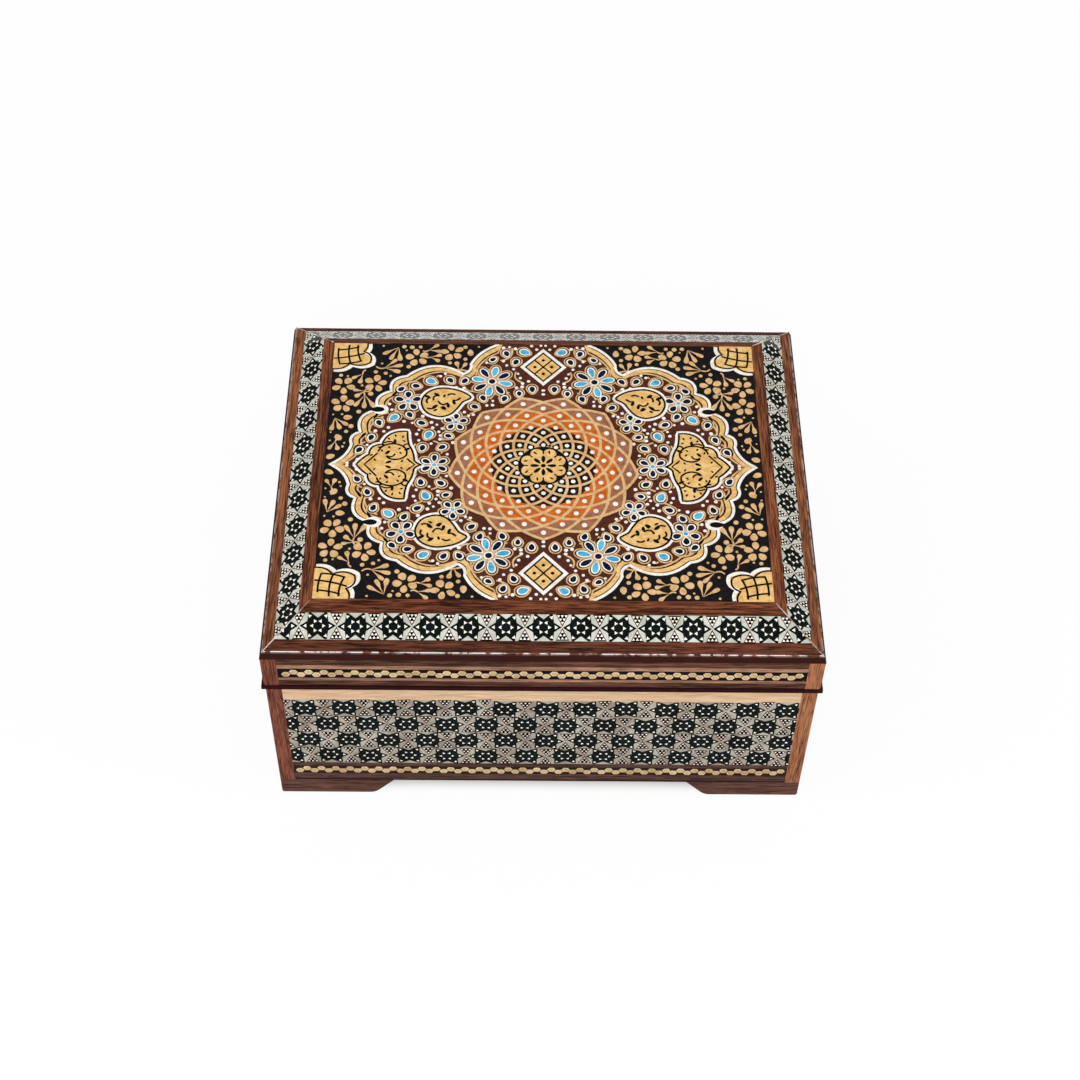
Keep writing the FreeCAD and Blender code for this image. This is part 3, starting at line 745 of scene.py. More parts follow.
def chain_line(name, body, faces):
    """A row of beads along the middle of each face."""

    def layout(face):
        steps = int((2 * face.half_low / MM - BEAD_WIDTH) / BEAD_PITCH)
        start = Vector((-steps * BEAD_PITCH * MM / 2, face.height / 2 - BEAD_SWING * MM / 2, 0))
        sizes = {
            "Columns": steps + 1,
            "Rows": 1,
            "Pitch": BEAD_PITCH * MM,
            "Column swing": BEAD_SWING * MM,
            "Stray": BEAD_STRAY * MM,
            "Stray turn": BEAD_STRAY_TURN,
            "Seed": BEAD_SEED,
        }
        return start, sizes

    for layer, (share, top, look) in BEAD_LAYERS.items():
        half = share * BEAD_WIDTH / 2
        rise = share * BEAD_HEIGHT / 2
        relief = Relief()
        relief.slab(all_round([(0, rise), (half / 2, rise), (half, 0)]), BEAD_SUNK, top, BEAD_INSET)
        lay_on_faces(f"{name}_{layer}", relief, look, body, faces, layout)


CHAINS = {"base_chain": ("box", "{}_khatam_panel"), "lid_chain": ("lid", "lid_{}_rail")}
for chain, (body, carrier) in CHAINS.items():
    faces = [upright_face(side, carrier.format(side), f"{chain}_inlays") for side in SIDES]
    chain_line(f"{chain}_beads", body, faces)

# Varnish that stands along the four mitres of the lid, coloured pale in broken patches as a painted
# highlight
MITRE_RADIUS = 0.16
MITRE_REACH = (-0.5, 1.5)


def rod(start, end, radius, sides=8):
    """Points and faces of a thin round rod."""
    run = (end - start).normalized()
    first = run.orthogonal().normalized()
    second = run.cross(first)
    ring = [first * x + second * y for x, y in round_outline(0, 0, radius, sides)]
    return [middle + spoke for middle in (start, end) for spoke in ring], prism_faces(sides)


def mitre_rod(side):
    """The line of varnish at the right end of one slope."""
    face = lid_star_face(side)
    ends = []
    for share in MITRE_REACH:
        across = face.half_low + (face.half_high - face.half_low) * share
        ends.append(face.matrix @ Vector((across, face.height * share, 0)))
    return rod(*ends, MITRE_RADIUS * MM)


mitres = smooth_shells("mitre_varnish", [mitre_rod(side) for side in SIDES])
piece("mitre_varnish", mitres, MITRE_PAINTED_HIGHLIGHT, "lid")

# Velvet: each pad is a soft block in the space of its solid
PAD_ROUND = 0.45
PAD_ROUND_ANGLES = (45, 30, 15, 0)
PAD_STEP = 0.003
LUMPS_PER_METRE = 140


def loose_boxes(node):
    """The box of every solid of a node. An edge that two solids share has more than two faces."""
    shape = bmesh.new()
    shape.from_mesh(frame["nodes"][node].data)
    bmesh.ops.remove_doubles(shape, verts=shape.verts[:], dist=0.01 * MM)
    waiting = set(shape.faces)
    boxes = []
    for first in shape.faces:
        if first not in waiting:
            continue
        waiting.remove(first)
        reached = [first]
        for face in reached:
            for edge in face.edges:
                if len(edge.link_faces) == 2:
                    near = [other for other in edge.link_faces if other in waiting]
                    waiting.difference_update(near)
                    reached += near
        boxes.append(box_of([corner.co for face in reached for corner in face.verts]))
    shape.free()
    return boxes


def axis_steps(low, high, radius):
    """Places along one side of a block: close together where it is rounded."""
    rounding = [radius * math.tan(math.radians(angle)) for angle in PAD_ROUND_ANGLES]
    straight = high - low - 2 * radius
    count = max(1, round(straight / PAD_STEP))
    middle = [low + radius + straight * step / count for step in range(1, count)]
    start = [low + radius - more for more in rounding]
    end = [high - radius + more for more in rounding[::-1]]
    return start + middle + end


def soft_block(low, high, lump):
    """Points and faces of a block with round edges and a lumpy skin that stays within its box."""
    radius = PAD_ROUND * min(high - low)
    steps = [axis_steps(low[axis], high[axis], radius) for axis in range(3)]
    rim = Vector((radius, radius, radius))
    inner_low = low + rim
    inner_high = high - rim
    numbers = {}
    points = []
    faces = []

    def number(key):
        if key not in numbers:
            flat = Vector([steps[axis][key[axis]] for axis in range(3)])
            core = Vector([min(max(flat[axis], inner_low[axis]), inner_high[axis]) for axis in range(3)])
            out = (flat - core).normalized()
            dent = lump * (0.5 + 0.5 * noise.noise(flat * LUMPS_PER_METRE))
            numbers[key] = len(points)
            points.append(core + out * (radius - dent))
        return numbers[key]

    for axis in range(3):
        across = (axis + 1) % 3
        up = (axis + 2) % 3
        ends = (0, len(steps[axis]) - 1)
        spans = [range(len(steps[span]) - 1) for span in (across, up)]
        for end, first, second in itertools.product(ends, *spans):
            corners = []
            for more_first, more_second in ((0, 0), (1, 0), (1, 1), (0, 1)):
                key = [end, end, end]
                key[across] = first + more_first
                key[up] = second + more_second
                corners.append(number(tuple(key)))
            faces.append(corners if end else corners[::-1])
    return points, faces


def padding(name, node, look, body, lump):
    """A velvet piece that stands for a node."""
    mesh = smooth_shells(name, [soft_block(low, high, lump * MM) for low, high in loose_boxes(node)])
    made = piece(name, mesh, look, body)
    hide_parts(node)


padding("wall_velvet", "wall_linings", VELVET, "box", lump=0.12)
padding("floor_velvet", "floor_pad", VELVET, "box", lump=0.25)
padding("lid_velvet", "lid_lining", VELVET, "lid", lump=0.15)
padding("body_rim_velvet", "velvet_rim", RIM_VELVET, "box", lump=0.06)
padding("lid_rim_velvet", "lid_velvet_rim", RIM_VELVET, "lid", lump=0.06)


# Painted lid, in millimetres from the middle of the panel: drawn in one quarter and mirrored
FOUR = [(1, 1), (-1, 1), (-1, -1), (1, -1)]
LEFT_RIGHT = [(1, 1), (-1, 1)]
UP_DOWN = [(1, 1), (1, -1)]
ONCE = [(1, 1)]
FILM_SUNK = -0.05
FILM_STEP = 0.018
STROKE_STEP = 0.0015
STROKE_STEPS = 11
panel_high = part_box("painted_panel")[1]
PANEL_X = panel_high.x / MM
PANEL_Y = panel_high.y / MM


def arc(start, end, bulge, steps=10):
    """Points from start towards end on a curve that swells to the left by a share of its chord."""
    run_x = end[0] - start[0]
    run_y = end[1] - start[1]
    points = []
    for step in range(steps):
        share = step / steps
        lift = 4 * bulge * share * (1 - share)
        points.append((start[0] + run_x * share - run_y * lift, start[1] + run_y * share + run_x * lift))
    return points


def smooth(points, steps=4):
    """A closed curve through the points."""
    count = len(points)
    curve = []
    for index in range(count):
        around = [points[(index + shift) % count] for shift in (-1, 0, 1, 2)]
        for step in range(steps):
            share = step / steps
            curve.append(tuple(
                0.5 * (2 * b + (c - a) * share + (2 * a - 5 * b + 4 * c - d) * share ** 2
                       + (3 * b - a - 3 * c + d) * share ** 3)
                for a, b, c, d in zip(*around)
            ))
    return curve


def placed(points, x, y, turn=0.0, size=1.0):
    """Points scaled and turned about the origin, then moved to x, y."""
    cosine = size * math.cos(turn)
    sine = size * math.sin(turn)
    return [(x + cosine * px - sine * py, y + sine * px + cosine * py) for px, py in points]


def swelling(length, width, profile, steps=3):
    """A leaf along x from its point at the origin. profile gives places along it and half widths."""
    side = [(along * length, share * width / 2) for along, share in profile]
    return smooth([(0, 0)] + [(x, -y) for x, y in side] + [(length, 0)] + side[::-1], steps)


def teardrop(length, width):
    return swelling(length, width, ((0.12, 0.5), (0.5, 0.98), (0.86, 0.74)))


def club(length, width):
    return swelling(length, width, ((0.45, 0.28), (0.72, 0.8), (0.93, 0.72)))


def line_sides(points, half, closed):
    """The two sides of a line, each half its width away."""
    left = []
    right = []
    last = len(points) - 1
    for index, (x, y) in enumerate(points):
        before = points[index - 1] if index or closed else points[index]
        after = points[(index + 1) % len(points)] if index < last or closed else points[index]
        run_x = after[0] - before[0]
        run_y = after[1] - before[1]
        scale = half / math.hypot(run_x, run_y)
        left.append((x - run_y * scale, y + run_x * scale))
        right.append((x + run_y * scale, y - run_x * scale))
    return left, right


class Painting:
    """Films of paint, one mesh for each colour. A later layer lies over an earlier one."""

    def __init__(self):
        self.films = {}
        self.mirrors = ONCE
        self.strokes = 0

    def film(self, look):
        return self.films.setdefault(look, Relief())

    def top(self, layer):
        """The height of the next stroke. Strokes of one layer differ a little, so few share a plane."""
        self.strokes += 1
        return FILM_STEP * (layer + 1) + STROKE_STEP * (self.strokes % STROKE_STEPS)

    def mirrored(self, points):
        return [[(across * x, up * y) for x, y in points] for across, up in self.mirrors]

    def fill(self, look, layer, outline):
        for copy in self.mirrored(outline):
            self.film(look).slab(copy, FILM_SUNK, self.top(layer))

    def line(self, look, layer, points, width, closed=False):
        for copy in self.mirrored(points):
            left, right = line_sides(copy, width / 2, closed)
            self.film(look).band(left, right, FILM_SUNK, self.top(layer), closed)

    def dot(self, look, layer, x, y, radius, sides=12):
        self.fill(look, layer, round_outline(x, y, radius, sides))

    def drop(self, look, layer, x, y, turn, length, width):
        """A teardrop with its point at x, y."""
        self.fill(look, layer, placed(teardrop(length, width), x, y, turn))


paint = Painting()
taken = []

# Medallion: its edge in one quarter, from the top of the panel round to the side point
EDGE = [
    ((14.0, PANEL_Y), 0.10),
    ((22.5, 41.8), -0.20),
    ((24.8, 37.6), 0.22),
    ((42.3, 36.4), 0.27),
    ((46.8, 30.0), 0.28),
    ((50.3, 22.2), 0.27),
    ((55.4, 13.0), 0.25),
    ((57.8, 8.0), -0.12),
]
EDGE_END = (63.8, 0.0)
# The lines along the edge: colour, layer, depth from the edge and width
EDGE_LINES = (
    (TAN, 1, 3.3, 0.55),
    (UMBER, 1, 2.7, 0.4),
    (GOLD, 1, 1.65, 1.5),
    (BLACK, 1, 0.75, 0.35),
    (WHITE, 2, 0.1, 0.9),
)
DROP_Y = 22.3
WHITE_BORDER = 1.1
BLACK_OUTLINE = 0.6


def lobed(corners, end):
    """A line of arcs: each corner gives the swell of the arc that leaves it."""
    places = [place for place, bulge in corners] + [end]
    line = []
    for index, (place, bulge) in enumerate(corners):
        line += arc(place, places[index + 1], bulge)
    return line + [end]


quarter_edge = lobed(EDGE, EDGE_END)
half_edge = quarter_edge + [(x, -y) for x, y in quarter_edge[-2::-1]]
whole_edge = half_edge + [(-x, -y) for x, y in half_edge]


def drawn_in(points, depth):
    """A line moved towards the middle of the panel."""
    moved = [(x - x * depth / math.hypot(x, y), y - y * depth / math.hypot(x, y)) for x, y in points]
    return [(moved[0][0], PANEL_Y)] + moved[1:-1] + [(moved[-1][0], -PANEL_Y)]


def inside(x, y, outline):
    """True if a line from x, y to the right crosses the outline an odd number of times."""
    crossings = 0
    for (ax, ay), (bx, by) in zip(outline, outline[1:] + outline[:1]):
        if (ay > y) != (by > y) and x < ax + (y - ay) * (bx - ax) / (by - ay):
            crossings += 1
    return crossings % 2 == 1


def free(x, y, radius):
    """True if nothing painted so far is within the radius."""
    return all(math.hypot(x - tx, y - ty) > radius + tr for tx, ty, tr in taken)


def grown(outline, amount):
    """A closed outline moved outwards all round."""
    left, right = line_sides(outline, amount, closed=True)
    return right if runs_left(outline) else left


def gold_shape(outline):
    """Gold with a black outline and a white border."""
    paint.fill(WHITE, 2, grown(outline, WHITE_BORDER))
    paint.fill(GOLD, 3, outline)
    paint.line(BLACK, 4, outline, BLACK_OUTLINE, closed=True)


def commas(layer, length, width, places):
    """Short black strokes of the brush, each with its own place and turn."""
    for x, y, turn in places:
        paint.drop(BLACK, layer, x, y, turn, length, width)


def curls(look, layer, width, curves):
    """Thin curves, each with its start, its end and its swell."""
    for start, end, bulge in curves:
        paint.line(look, layer, arc(start, end, bulge) + [end], width)


paint.fill(MAROON, 0, whole_edge)
paint.mirrors = LEFT_RIGHT
for look, layer, depth, width in EDGE_LINES:
    paint.line(look, layer, drawn_in(half_edge, depth), width)
paint.mirrors = FOUR
for look, layer, x, length, width in ((WHITE, 3, 52.6, 5.4, 4.0), (BLACK, 4, 53.0, 4.5, 2.1)):
    paint.drop(look, layer, x, DROP_Y, math.pi, length, width)
commas(2, 3.0, 0.9, ((46.6, 27.6, 2.2), (51.6, 18.2, 2.0), (55.2, 10.2, 2.1), (33.2, 37.2, 3.0)))
taken.append((49.6, DROP_Y, 2.0))

# Roundel: a net of two sets of spirals over four rings, with a white dot in every mesh
NET_ARMS = 13
NET_START = 5.75
NET_STEP = 2.5
NET_RINGS = 8
ARM_STEPS = 30
LOBES = 8
ROUNDEL = NET_START + NET_STEP * (NET_RINGS + 1)
arm_step = math.tau / NET_ARMS
paint.mirrors = ONCE


def net_point(radius, arm, hand):
    """The place of one arm of the net, which turns half an arm's step either way with each ring."""
    return polar(radius, math.pi / 2 + arm_step * (arm + hand * (radius - NET_START) / NET_STEP / 2))


rim = []
for arm in range(NET_ARMS):
    rim.append(net_point(ROUNDEL, arm, 1))
    rim.append(net_point(ROUNDEL - NET_STEP, arm + 1, 1))
paint.fill(MAUVE, 1, rim)
for look, layer, radius, sides in ((ORANGE, 2, 22.3, 60), (UMBER, 3, 15.7, 48), (BLACK, 4, 12.6, 40)):
    paint.dot(look, layer, 0, 0, radius, sides)
radii = [NET_START + (ROUNDEL - NET_START) * step / ARM_STEPS for step in range(ARM_STEPS + 1)]
for arm in range(NET_ARMS):
    for hand in (-1, 1):
        paint.line(TAN, 5, [net_point(radius, arm, hand) for radius in radii], 0.85)
    for ring in range(1, NET_RINGS + 1):
        radius = NET_START + NET_STEP * ring
        spot = net_point(radius, arm + (ring + 1) / 2, 0)
        paint.dot(WHITE, 6, *spot, 0.66 + 0.02 * ring, 10)
paint.dot(BLACK, 6, 0, 0, 7.6, 32)
paint.dot(GOLD, 7, 0, 0, 4.9, 24)
for lobe in range(LOBES):
    angle = (lobe + 0.5) * math.tau / LOBES
    between = angle + math.tau / LOBES / 2
    paint.dot(GOLD, 7, *polar(5.0, angle), 2.0, 16)
    paint.drop(BLACK, 8, *polar(1.2, between), between, 2.7, 1.2)
    paint.drop(BLACK, 8, *polar(4.9, angle), angle + 0.5, 1.4, 0.6)
    paint.line(BLACK, 8, [polar(4.6, between), polar(6.6, between)], 0.45)
paint.dot(BLACK, 8, 0, 0, 0.75)
taken.append((0, 0, ROUNDEL - 0.2))

# Lozenges above and below the roundel
LOZENGE_Y = 40.7
paint.mirrors = UP_DOWN
lozenge = [(1, 0), (0, 1.1), (-1, 0), (0, -1.1)]
for look, layer, size in ((WHITE, 2, 7.2), (BLACK, 3, 5.8), (GOLD, 4, 5.1)):
    paint.fill(look, layer, placed(lozenge, 0, LOZENGE_Y, 0, size))
for way in (-1, 1):
    paint.line(BLACK, 5, [(way * -2.6, LOZENGE_Y - 2.85), (way * 2.6, LOZENGE_Y + 2.85)], 0.5)
for x, y in ((0, 2.9), (0, -2.9), (2.6, 0), (-2.6, 0)):
    paint.dot(BLACK, 5, x, LOZENGE_Y + y, 0.55)
taken.append((0, LOZENGE_Y, 7.0))

# Palmettes on the long axis
PALMETTE = lobed([
    ((55.8, 0.0), -0.05),
    ((52.2, 4.0), -0.24),
    ((48.5, 8.0), -0.22),
    ((41.0, 13.3), 0.04),
    ((40.3, 7.6), -0.06),
    ((38.6, 1.7), 0.1),
], (36.4, 0.0))
SCROLL = (45.2, 4.7)
SCROLL_RADIUS = 4.3
SCROLL_STEPS = 26
SCROLL_ROUND_STEPS = 15
SCROLL_DRAW_IN = 0.2
SCROLL_START = 0.1
SCROLL_TURN = 0.22
SCROLL_SQUASH = 0.84
paint.mirrors = LEFT_RIGHT
gold_shape(PALMETTE + [(x, -y) for x, y in PALMETTE[-2:0:-1]])
paint.line(BLACK, 4, [(49.6, -4.6), (51.9, -1.8), (53.4, 0), (51.9, 1.8), (49.6, 4.6)], 0.55)
paint.line(BLACK, 4, [(40.8, -2.4), (38.4, 0), (40.8, 2.4)], 0.55)
paint.mirrors = FOUR
scroll = []
for step in range(SCROLL_STEPS):
    radius = SCROLL_RADIUS - SCROLL_DRAW_IN * max(0, step - SCROLL_ROUND_STEPS)
    across, up = polar(radius, SCROLL_START + SCROLL_TURN * step)
    scroll.append((SCROLL[0] + across, SCROLL[1] + SCROLL_SQUASH * up))
paint.line(BLACK, 4, scroll, 0.6)
curls(BLACK, 4, 0.55, (
    (scroll[-1], (44.4, 4.3), 0.3), ((49.8, 6.9), (48.0, 8.2), 0.25), ((47.9, 8.6), (44.6, 8.4), -0.2),
    ((40.6, 8.2), (42.0, 7.4), 0.2),
))
commas(4, 2.0, 0.95, ((47.4, 4.0, 2.3), (44.6, 8.2, 1.5), (41.8, 5.6, 2.6), (47.2, 0.5, 2.7)))
commas(4, 1.1, 0.6, (
    (46.0, 6.4, 1.0), (48.2, 5.0, 1.2), (43.6, 6.0, 2.4), (42.4, 4.2, 0.8), (44.4, 11.0, 1.3),
    (42.6, 10.6, 2.0), (46.2, 9.8, 1.0), (41.4, 9.2, 0.4), (50.0, 1.4, 0.9), (42.6, 0.9, 2.2),
    (39.8, 1.0, 1.1), (52.0, 3.4, 2.6),
))
taken += [(46, 0, 8.8), (44, 8, 6.0), (42.6, 12.5, 3.4)]

# Curved leaves between the roundel and the corners
BOTEH = [
    (-1.55, 0.36), (-1.14, 0.04), (-0.86, -0.42), (-0.5, -0.84), (0.05, -1), (0.72, -0.7),
    (1, 0), (0.74, 0.66), (0.1, 1), (-0.6, 0.95), (-1.15, 0.74),
]
boteh = placed(smooth(BOTEH, 4), 31.4, 25.4, 0, 5.9)
gold_shape(boteh)
curls(BLACK, 4, 0.62, (
    ((35.6, 23.0), (32.4, 24.4), 0.25), ((35.4, 25.0), (34.6, 27.4), -0.3),
    ((33.6, 26.2), (31.8, 28.2), -0.35), ((32.2, 26.0), (29.2, 25.2), 0.35),
    ((29.4, 28.4), (27.0, 28.6), -0.2), ((27.8, 26.4), (25.4, 27.4), 0.2),
))
commas(4, 2.0, 1.05, (
    (32.6, 24.4, 5.4), (31.4, 23.4, 3.6), (34.6, 27.4, 0.4), (31.8, 28.2, 0.5), (29.2, 25.2, 4.6),
    (27.8, 26.4, 4.3),
))
commas(4, 1.4, 0.75, ((29.8, 23.0, 0.6), (33.6, 21.8, 2.6), (30.6, 27.4, 1.9), (26.6, 26.2, 2.4)))
taken += [(31.4, 25.4, 7.2), (23.6, 28, 2.6)]

# Corner pieces with strapwork
CORNER = lobed([
    ((54.6, PANEL_Y), -0.14),
    ((55.6, 46.4), -0.24),
    ((53.4, 41.6), -0.16),
    ((59.7, 41.2), -0.16),
], (PANEL_X, 38.9))
paint.fill(GOLD, 1, CORNER + [(PANEL_X, PANEL_Y)])
paint.line(WHITE, 2, [(x - 0.4, y - 0.3) for x, y in CORNER], 1.1)
paint.line(BLACK, 3, [(x + 0.5, y + 0.4) for x, y in CORNER], 0.55)
curls(BLACK, 3, 0.6, (
    ((63.4, 41.6), (64.0, 48.2), -0.04), ((60.0, 41.8), (60.7, 49.6), -0.05),
    ((56.8, 42.8), (58.0, 49.6), -0.06), ((63.6, 41.4), (56.4, 42.8), 0.05),
    ((65.2, 43.8), (55.8, 46.0), 0.04), ((64.2, 47.4), (57.6, 48.8), 0.04),
))
corner_taken = [(59, 46, 8.2), (55, 43, 4.2), (63, 42.5, 4.5), (54.5, 48.5, 3.6)]


# Flowers, leaves and buds: a coloured heart, a white edge, a dark gap and a tan contour.
# Each layer grows past the heart all round and shifts along the petal
PETAL_LAYERS = ((TAN, 1, 1.15, 0.12), (BLACK, 2, 0.7, 0.2), (WHITE, 3, 0.44, 0))
# Shares of a flower's radius. Its petals share out the width
PETAL_START = 0.32
PETAL_LENGTH = 0.52
PETALS_WIDTH = 1.95
EYE_EDGE = 0.2
EYE = 0.14
FLOWER_ROOM = 1.02
LEAF_LENGTH = 2.3
LEAF_WIDTH = 1.7
LEAF_ROOM = 2.2


def petal(x, y, turn, length, width, heart):
    """One petal from the point of its heart at x, y."""
    for look, layer, more, shift in PETAL_LAYERS + ((heart, 4, 0, 0),):
        spot = polar(shift - more, turn, x, y)
        paint.drop(look, layer, *spot, turn, length + 2 * more, width + 2 * more)


def flower(x, y, radius, petals, hearts, middle, turn):
    """Petals round an eye. Their hearts take turns in colour."""
    for step in range(petals):
        angle = turn + step * math.tau / petals
        start = polar(radius * PETAL_START, angle, x, y)
        width = radius * PETALS_WIDTH / petals
        petal(*start, angle, radius * PETAL_LENGTH, width, hearts[step % len(hearts)])
    paint.dot(WHITE, 4, x, y, EYE_EDGE * radius)
    paint.dot(middle, 5, x, y, EYE * radius)
    taken.append((x, y, radius * FLOWER_ROOM))


def leaf(x, y, turn, heart, size=1.0):
    """A single petal with its middle near x, y."""
    petal(*polar(-size, turn, x, y), turn, LEAF_LENGTH * size, LEAF_WIDTH * size, heart)
    taken.append((x, y, LEAF_ROOM * size))


flower(15.8, 34.4, 7.2, 8, (TURQUOISE, NAVY), NAVY, 0.2)
flower(41.4, 25.8, 4.7, 5, (NAVY,), TURQUOISE, 0.3)
flower(26.6, 17.3, 4.0, 5, (NAVY,), TURQUOISE, 0.36)
paint.mirrors = LEFT_RIGHT
flower(32.6, 0, 4.7, 6, (NAVY,), TURQUOISE, math.pi / 6)
paint.mirrors = FOUR
for x, y, turn in ((45.6, 18.8, 2.4), (34.8, 11.8, 2.0), (5.6, 47.0, 0.4), (34.4, 34.2, 0.5)):
    leaf(x, y, turn, TURQUOISE, 1.25)
for x, y, turn in (
    (49.8, 16.6, 1.2), (36.8, 16.8, 0.4), (30.6, 7.0, 2.6), (36.4, 6.6, 1.8), (11.4, 46.2, 1.2),
    (8.6, 42.6, 2.0), (20.8, 23.6, 0.6), (18.4, 27.2, 1.2), (55.4, 5.6, 2.2), (52.0, 10.6, 1.9),
    (39.0, 32.2, 0.2), (43.6, 31.0, 5.6), (28.6, 34.6, 0.9), (12.0, 27.0, 1.9), (3.4, 31.0, 1.5),
    (24.4, 34.4, 2.2), (40.6, 20.0, 1.0),
):
    leaf(x, y, turn, NAVY)

# Stems: tan curves that tie flowers and buds together
curls(TAN, 0.5, 0.55, (
    ((22.6, 38.4), (33.0, 36.2), 0.18), ((36.0, 36.0), (42.6, 32.4), 0.2),
    ((44.6, 29.0), (47.6, 24.6), 0.2), ((45.4, 22.6), (41.8, 20.8), 0.25),
    ((48.6, 19.4), (52.8, 12.4), 0.15), ((53.6, 9.0), (57.6, 3.6), 0.15),
    ((38.2, 18.6), (35.6, 14.2), 0.25), ((33.2, 9.6), (30.6, 4.6), -0.25),
    ((38.4, 8.4), (37.6, 3.6), 0.25), ((22.4, 20.8), (19.8, 25.4), 0.2),
    ((16.2, 27.0), (10.4, 29.6), -0.25), ((8.4, 38.6), (6.6, 34.2), 0.25),
    ((13.4, 43.4), (9.8, 48.8), 0.25), ((20.6, 30.6), (24.2, 31.8), -0.25),
    ((28.4, 11.8), (31.6, 10.6), -0.3),
))

# More buds, then white dots, in what is left of the medallion
PAINTING_SEED = 11
FIELD_DEPTH = 4.2
BUD_LOW = (2.2, 2.2)
BUD_HIGH = (60, 48.5)
BUD_RADIUS = 1.9
BUD_SIZE = 0.86
DOT_LOW = (0, 0)
DOT_HIGH = (60, 50)
DOT_RADIUS = 0.6
DOT_ROOM = 0.85
chance = random.Random(PAINTING_SEED)
field = [(0, PANEL_Y)] + drawn_in(half_edge, FIELD_DEPTH) + [(0, -PANEL_Y)]


def random_places(attempts, low, high, fits):
    """Those of a number of random places between two corners that fit."""
    for attempt in range(attempts):
        x = chance.uniform(low[0], high[0])
        y = chance.uniform(low[1], high[1])
        if fits(x, y):
            yield x, y


def open_field(radius, attempts, low, high):
    """Places in the medallion that are free for something of that radius."""
    return random_places(attempts, low, high, lambda x, y: inside(x, y, field) and free(x, y, radius))


for x, y in open_field(BUD_RADIUS, 3000, BUD_LOW, BUD_HIGH):
    leaf(x, y, chance.uniform(0, math.tau), NAVY, BUD_SIZE)
for x, y in open_field(DOT_RADIUS, 6000, DOT_LOW, DOT_HIGH):
    paint.dot(WHITE, 3, x, y, chance.uniform(0.42, DOT_RADIUS))
    taken.append((x, y, DOT_ROOM))

# Gold foliage in the corners outside the medallion, large sprays first
GROUND_GAP = 1.3
GROUND_X = 14
PANEL_MARGIN = 0.4
ROOT_MARGIN = 0.6
# Shares of the radius of a spray: the room it takes, and how near it comes to the edges and the axis
SPRAY_ROOM = 0.94
TO_MEDALLION = 0.9
TO_PANEL_EDGE = 0.85
TO_AXIS = 0.7
outer_edge = drawn_in(half_edge, -GROUND_GAP) + [(-1, -PANEL_Y), (-1, PANEL_Y)]
taken = corner_taken


def open_ground(radius, attempts):
    """Places in the corner that are free for something of about that radius."""

    def fits(x, y):
        near = round_outline(x, y, radius * TO_MEDALLION, 8)
        return free(x, y, radius * SPRAY_ROOM) and not any(inside(*spot, outer_edge) for spot in near)

    margin = PANEL_MARGIN + radius * TO_PANEL_EDGE
    low = (GROUND_X, radius * TO_AXIS)
    for x, y in random_places(attempts, low, (PANEL_X - margin, PANEL_Y - margin), fits):
        taken.append((x, y, radius * SPRAY_ROOM))
        yield x, y


def spray(x, y, reach, spreads):
    """Club-shaped leaves that fan out of one point."""
    turn = chance.uniform(0, math.tau)
    start = polar(-reach, turn, x, y)
    for spread in spreads:
        length = chance.uniform(1.6, 2.0) * reach
        paint.fill(TAN, 1, placed(club(length, chance.uniform(1.4, 1.9)), *start, turn + spread))
    root = polar(-0.9 * reach, turn + chance.uniform(-0.5, 0.5), *start)
    on_panel = root[0] < PANEL_X - ROOT_MARGIN and root[1] < PANEL_Y - ROOT_MARGIN
    if on_panel and not inside(*root, outer_edge):
        curls(TAN, 1, 0.45, [(root, start, chance.choice((-0.2, 0.2)))])


for x, y in open_ground(3.7, 40):
    turn = chance.uniform(0, math.tau)
    for step in range(5):
        angle = turn + step * math.tau / 5
        spot = polar(chance.uniform(0.8, 1.1), angle, x, y)
        paint.drop(TAN, 1, *spot, angle, 2.7, chance.uniform(2.0, 2.5))
for x, y in open_ground(2.9, 1500):
    spray(x, y, 3.0, (-0.58, -0.02, 0.55))
for x, y in open_ground(1.9, 3000):
    spray(x, y, 2.1, (-0.42, 0.42))
for x, y in open_ground(1.5, 2500):
    turn = chance.uniform(0, math.tau)
    paint.drop(TAN, 1, *polar(-1.35, turn, x, y), turn, 2.7, 2.0)
for x, y in open_ground(1.05, 1500):
    paint.dot(TAN, 1, x, y, chance.uniform(0.6, 0.85))
for x, y in open_ground(0.75, 700):
    paint.dot(TAN, 1, x, y, chance.uniform(0.3, 0.42))

for look, relief in paint.films.items():
    film = relief.mesh(f"painted_{look.name}")
    film.transform(Matrix.Translation((0, 0, panel_high.z)))
    piece(film.name, film, look, "lid")


# Stage
def shown(graph):
    """1 for rays that see the backdrop directly, mirrored or through glass."""
    kinds = ("Camera", "Glossy", "Transmission")
    camera, glossy, glass = [graph.node("ShaderNodeLightPath", out=f"Is {kind} Ray") for kind in kinds]
    return camera + glossy + glass


FLOOR_HALF = 4.0
FLOOR_GLOW = 0.93
UNDER_BOX = (-9 * MM, -1 * MM)


def grey(level):
    return (level, level, level, 1.0)


def pale_floor():
    """A floor that shows almost white, with a painted shadow: its own colour is darker under the box."""
    graph = Finish("pale_floor")
    past_x = graph.axis("X").math("ABSOLUTE") - CAD_BOX[1].x
    past_y = graph.axis("Y").math("ABSOLUTE") - CAD_BOX[1].y
    outside = graph.between(past_x.math("MAXIMUM", past_y), *UNDER_BOX)
    share = FLOOR_GLOW * outside * shown(graph)
    tone = graph.between(graph.noise(graph.place(), 2.0), 0.3, 0.7)
    open_floor = graph.mix(tone, grey(0.92), grey(0.94))
    # Painted shadow: the floor's colour turns grey under the box
    colour = graph.mix(outside, grey(0.5), open_floor)
    matt = graph.node("ShaderNodeBsdfDiffuse", {"Color": colour})
    glow = graph.node("ShaderNodeEmission", {"Color": grey(1.0), "Strength": 1.0})
    both = graph.node("ShaderNodeMixShader", {0: share, 1: matt, 2: glow})
    graph.put(graph.tree.nodes["Material Output"].inputs["Surface"], both)
    return graph.material


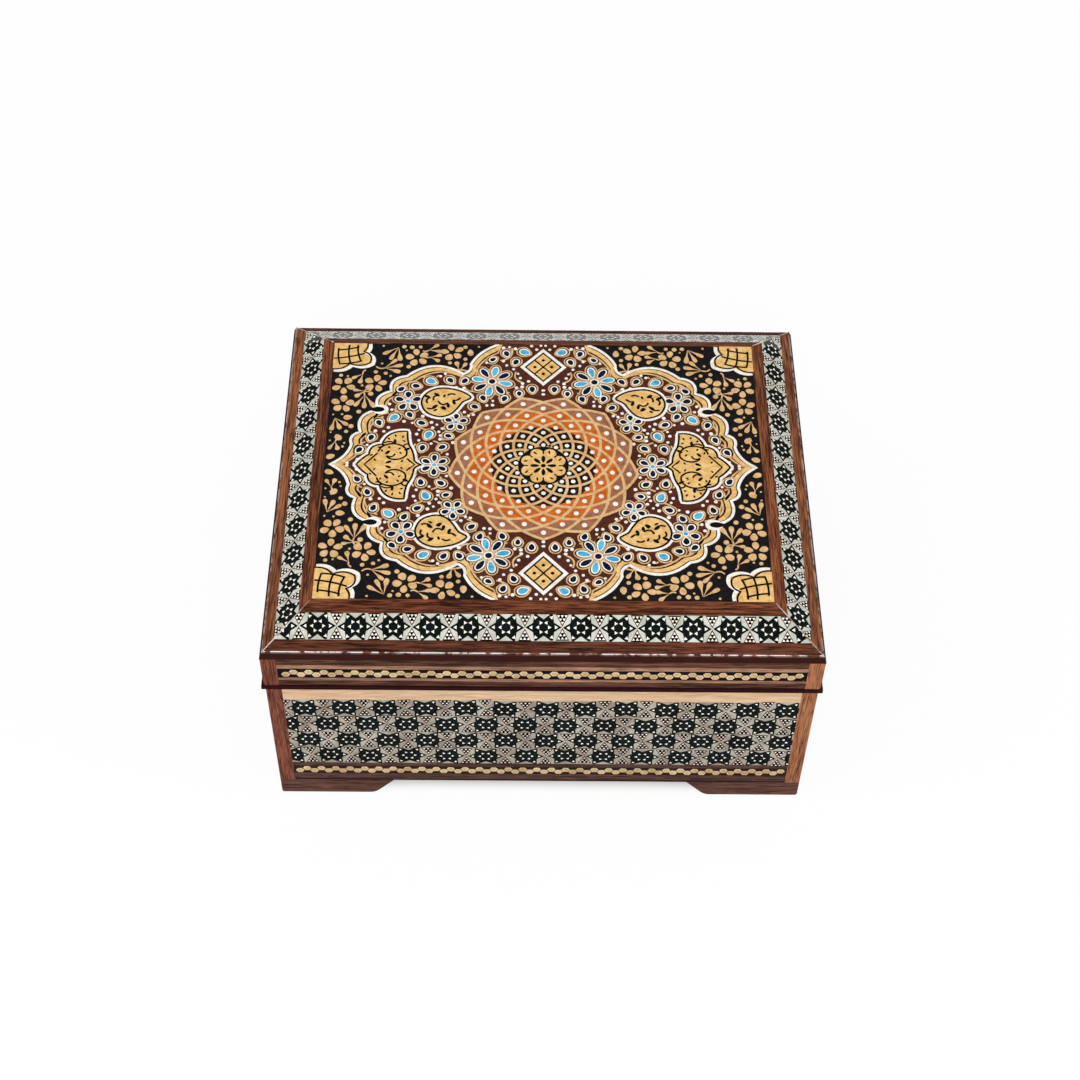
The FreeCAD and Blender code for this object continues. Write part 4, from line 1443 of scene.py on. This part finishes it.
floor_mesh = bpy.data.meshes.new("floor")
floor_mesh.from_pydata([(x * FLOOR_HALF, y * FLOOR_HALF, 0) for x, y in FOUR], [], [(0, 1, 2, 3)])
floor_mesh.materials.append(pale_floor())
floor = in_scene("floor", floor_mesh)


def soft_light(name, place, aim, size, power):
    """A rectangular lamp that faces a point."""
    lamp = bpy.data.lights.new(name, "AREA")
    lamp.shape = "RECTANGLE"
    lamp.size, lamp.size_y = size
    lamp.energy = power
    made = in_scene(name, lamp)
    made.location = place
    made.rotation_euler = (Vector(aim) - Vector(place)).to_track_quat("-Z", "Y").to_euler()


soft_light("front_key", (-0.05, -0.9, 0.8), (0, 0, 0.05), (0.62, 0.4), 6.5)
soft_light("left_light", (-0.9, -0.35, 0.95), (0, 0, 0.04), (0.6, 0.6), 4.6)
soft_light("right_light", (1.0, -0.3, 0.6), (0, 0, 0.04), (0.6, 0.5), 3.8)
soft_light("back_panel", (0, 0.7, 0.14), (0, 0, 0.08), (1.2, 0.28), 1.2)

world = bpy.data.worlds.new("studio")
world.use_nodes = True
bpy.context.scene.world = world
studio = Graph(world.node_tree)
backdrop = world.node_tree.nodes["Background"]
BACKDROP_LIGHT = 0.45
studio.put(backdrop.inputs["Color"], grey(1.0))
studio.put(backdrop.inputs["Strength"], BACKDROP_LIGHT + (1 - BACKDROP_LIGHT) * shown(studio))

# Camera, in the photograph's place
CAMERA_PLACE = (-0.006525, -0.394937, 0.533015)
PITCH_DOWN = 51.011
YAW = -0.865
ROLL = 1.1428
FOCAL_LENGTH = 67.061
SENSOR_WIDTH = 36
scene = bpy.context.scene
scene.view_settings.view_transform = "Standard"
lens = bpy.data.cameras.new("camera")
lens.lens = FOCAL_LENGTH
lens.sensor_width = SENSOR_WIDTH
camera = in_scene("camera", lens)
camera.location = CAMERA_PLACE
aim = (
    Matrix.Rotation(math.radians(YAW), 3, "Z")
    @ Matrix.Rotation(math.radians(90 - PITCH_DOWN), 3, "X")
    @ Matrix.Rotation(math.radians(ROLL), 3, "Z")
)
camera.rotation_euler = aim.to_euler()
scene.camera = camera
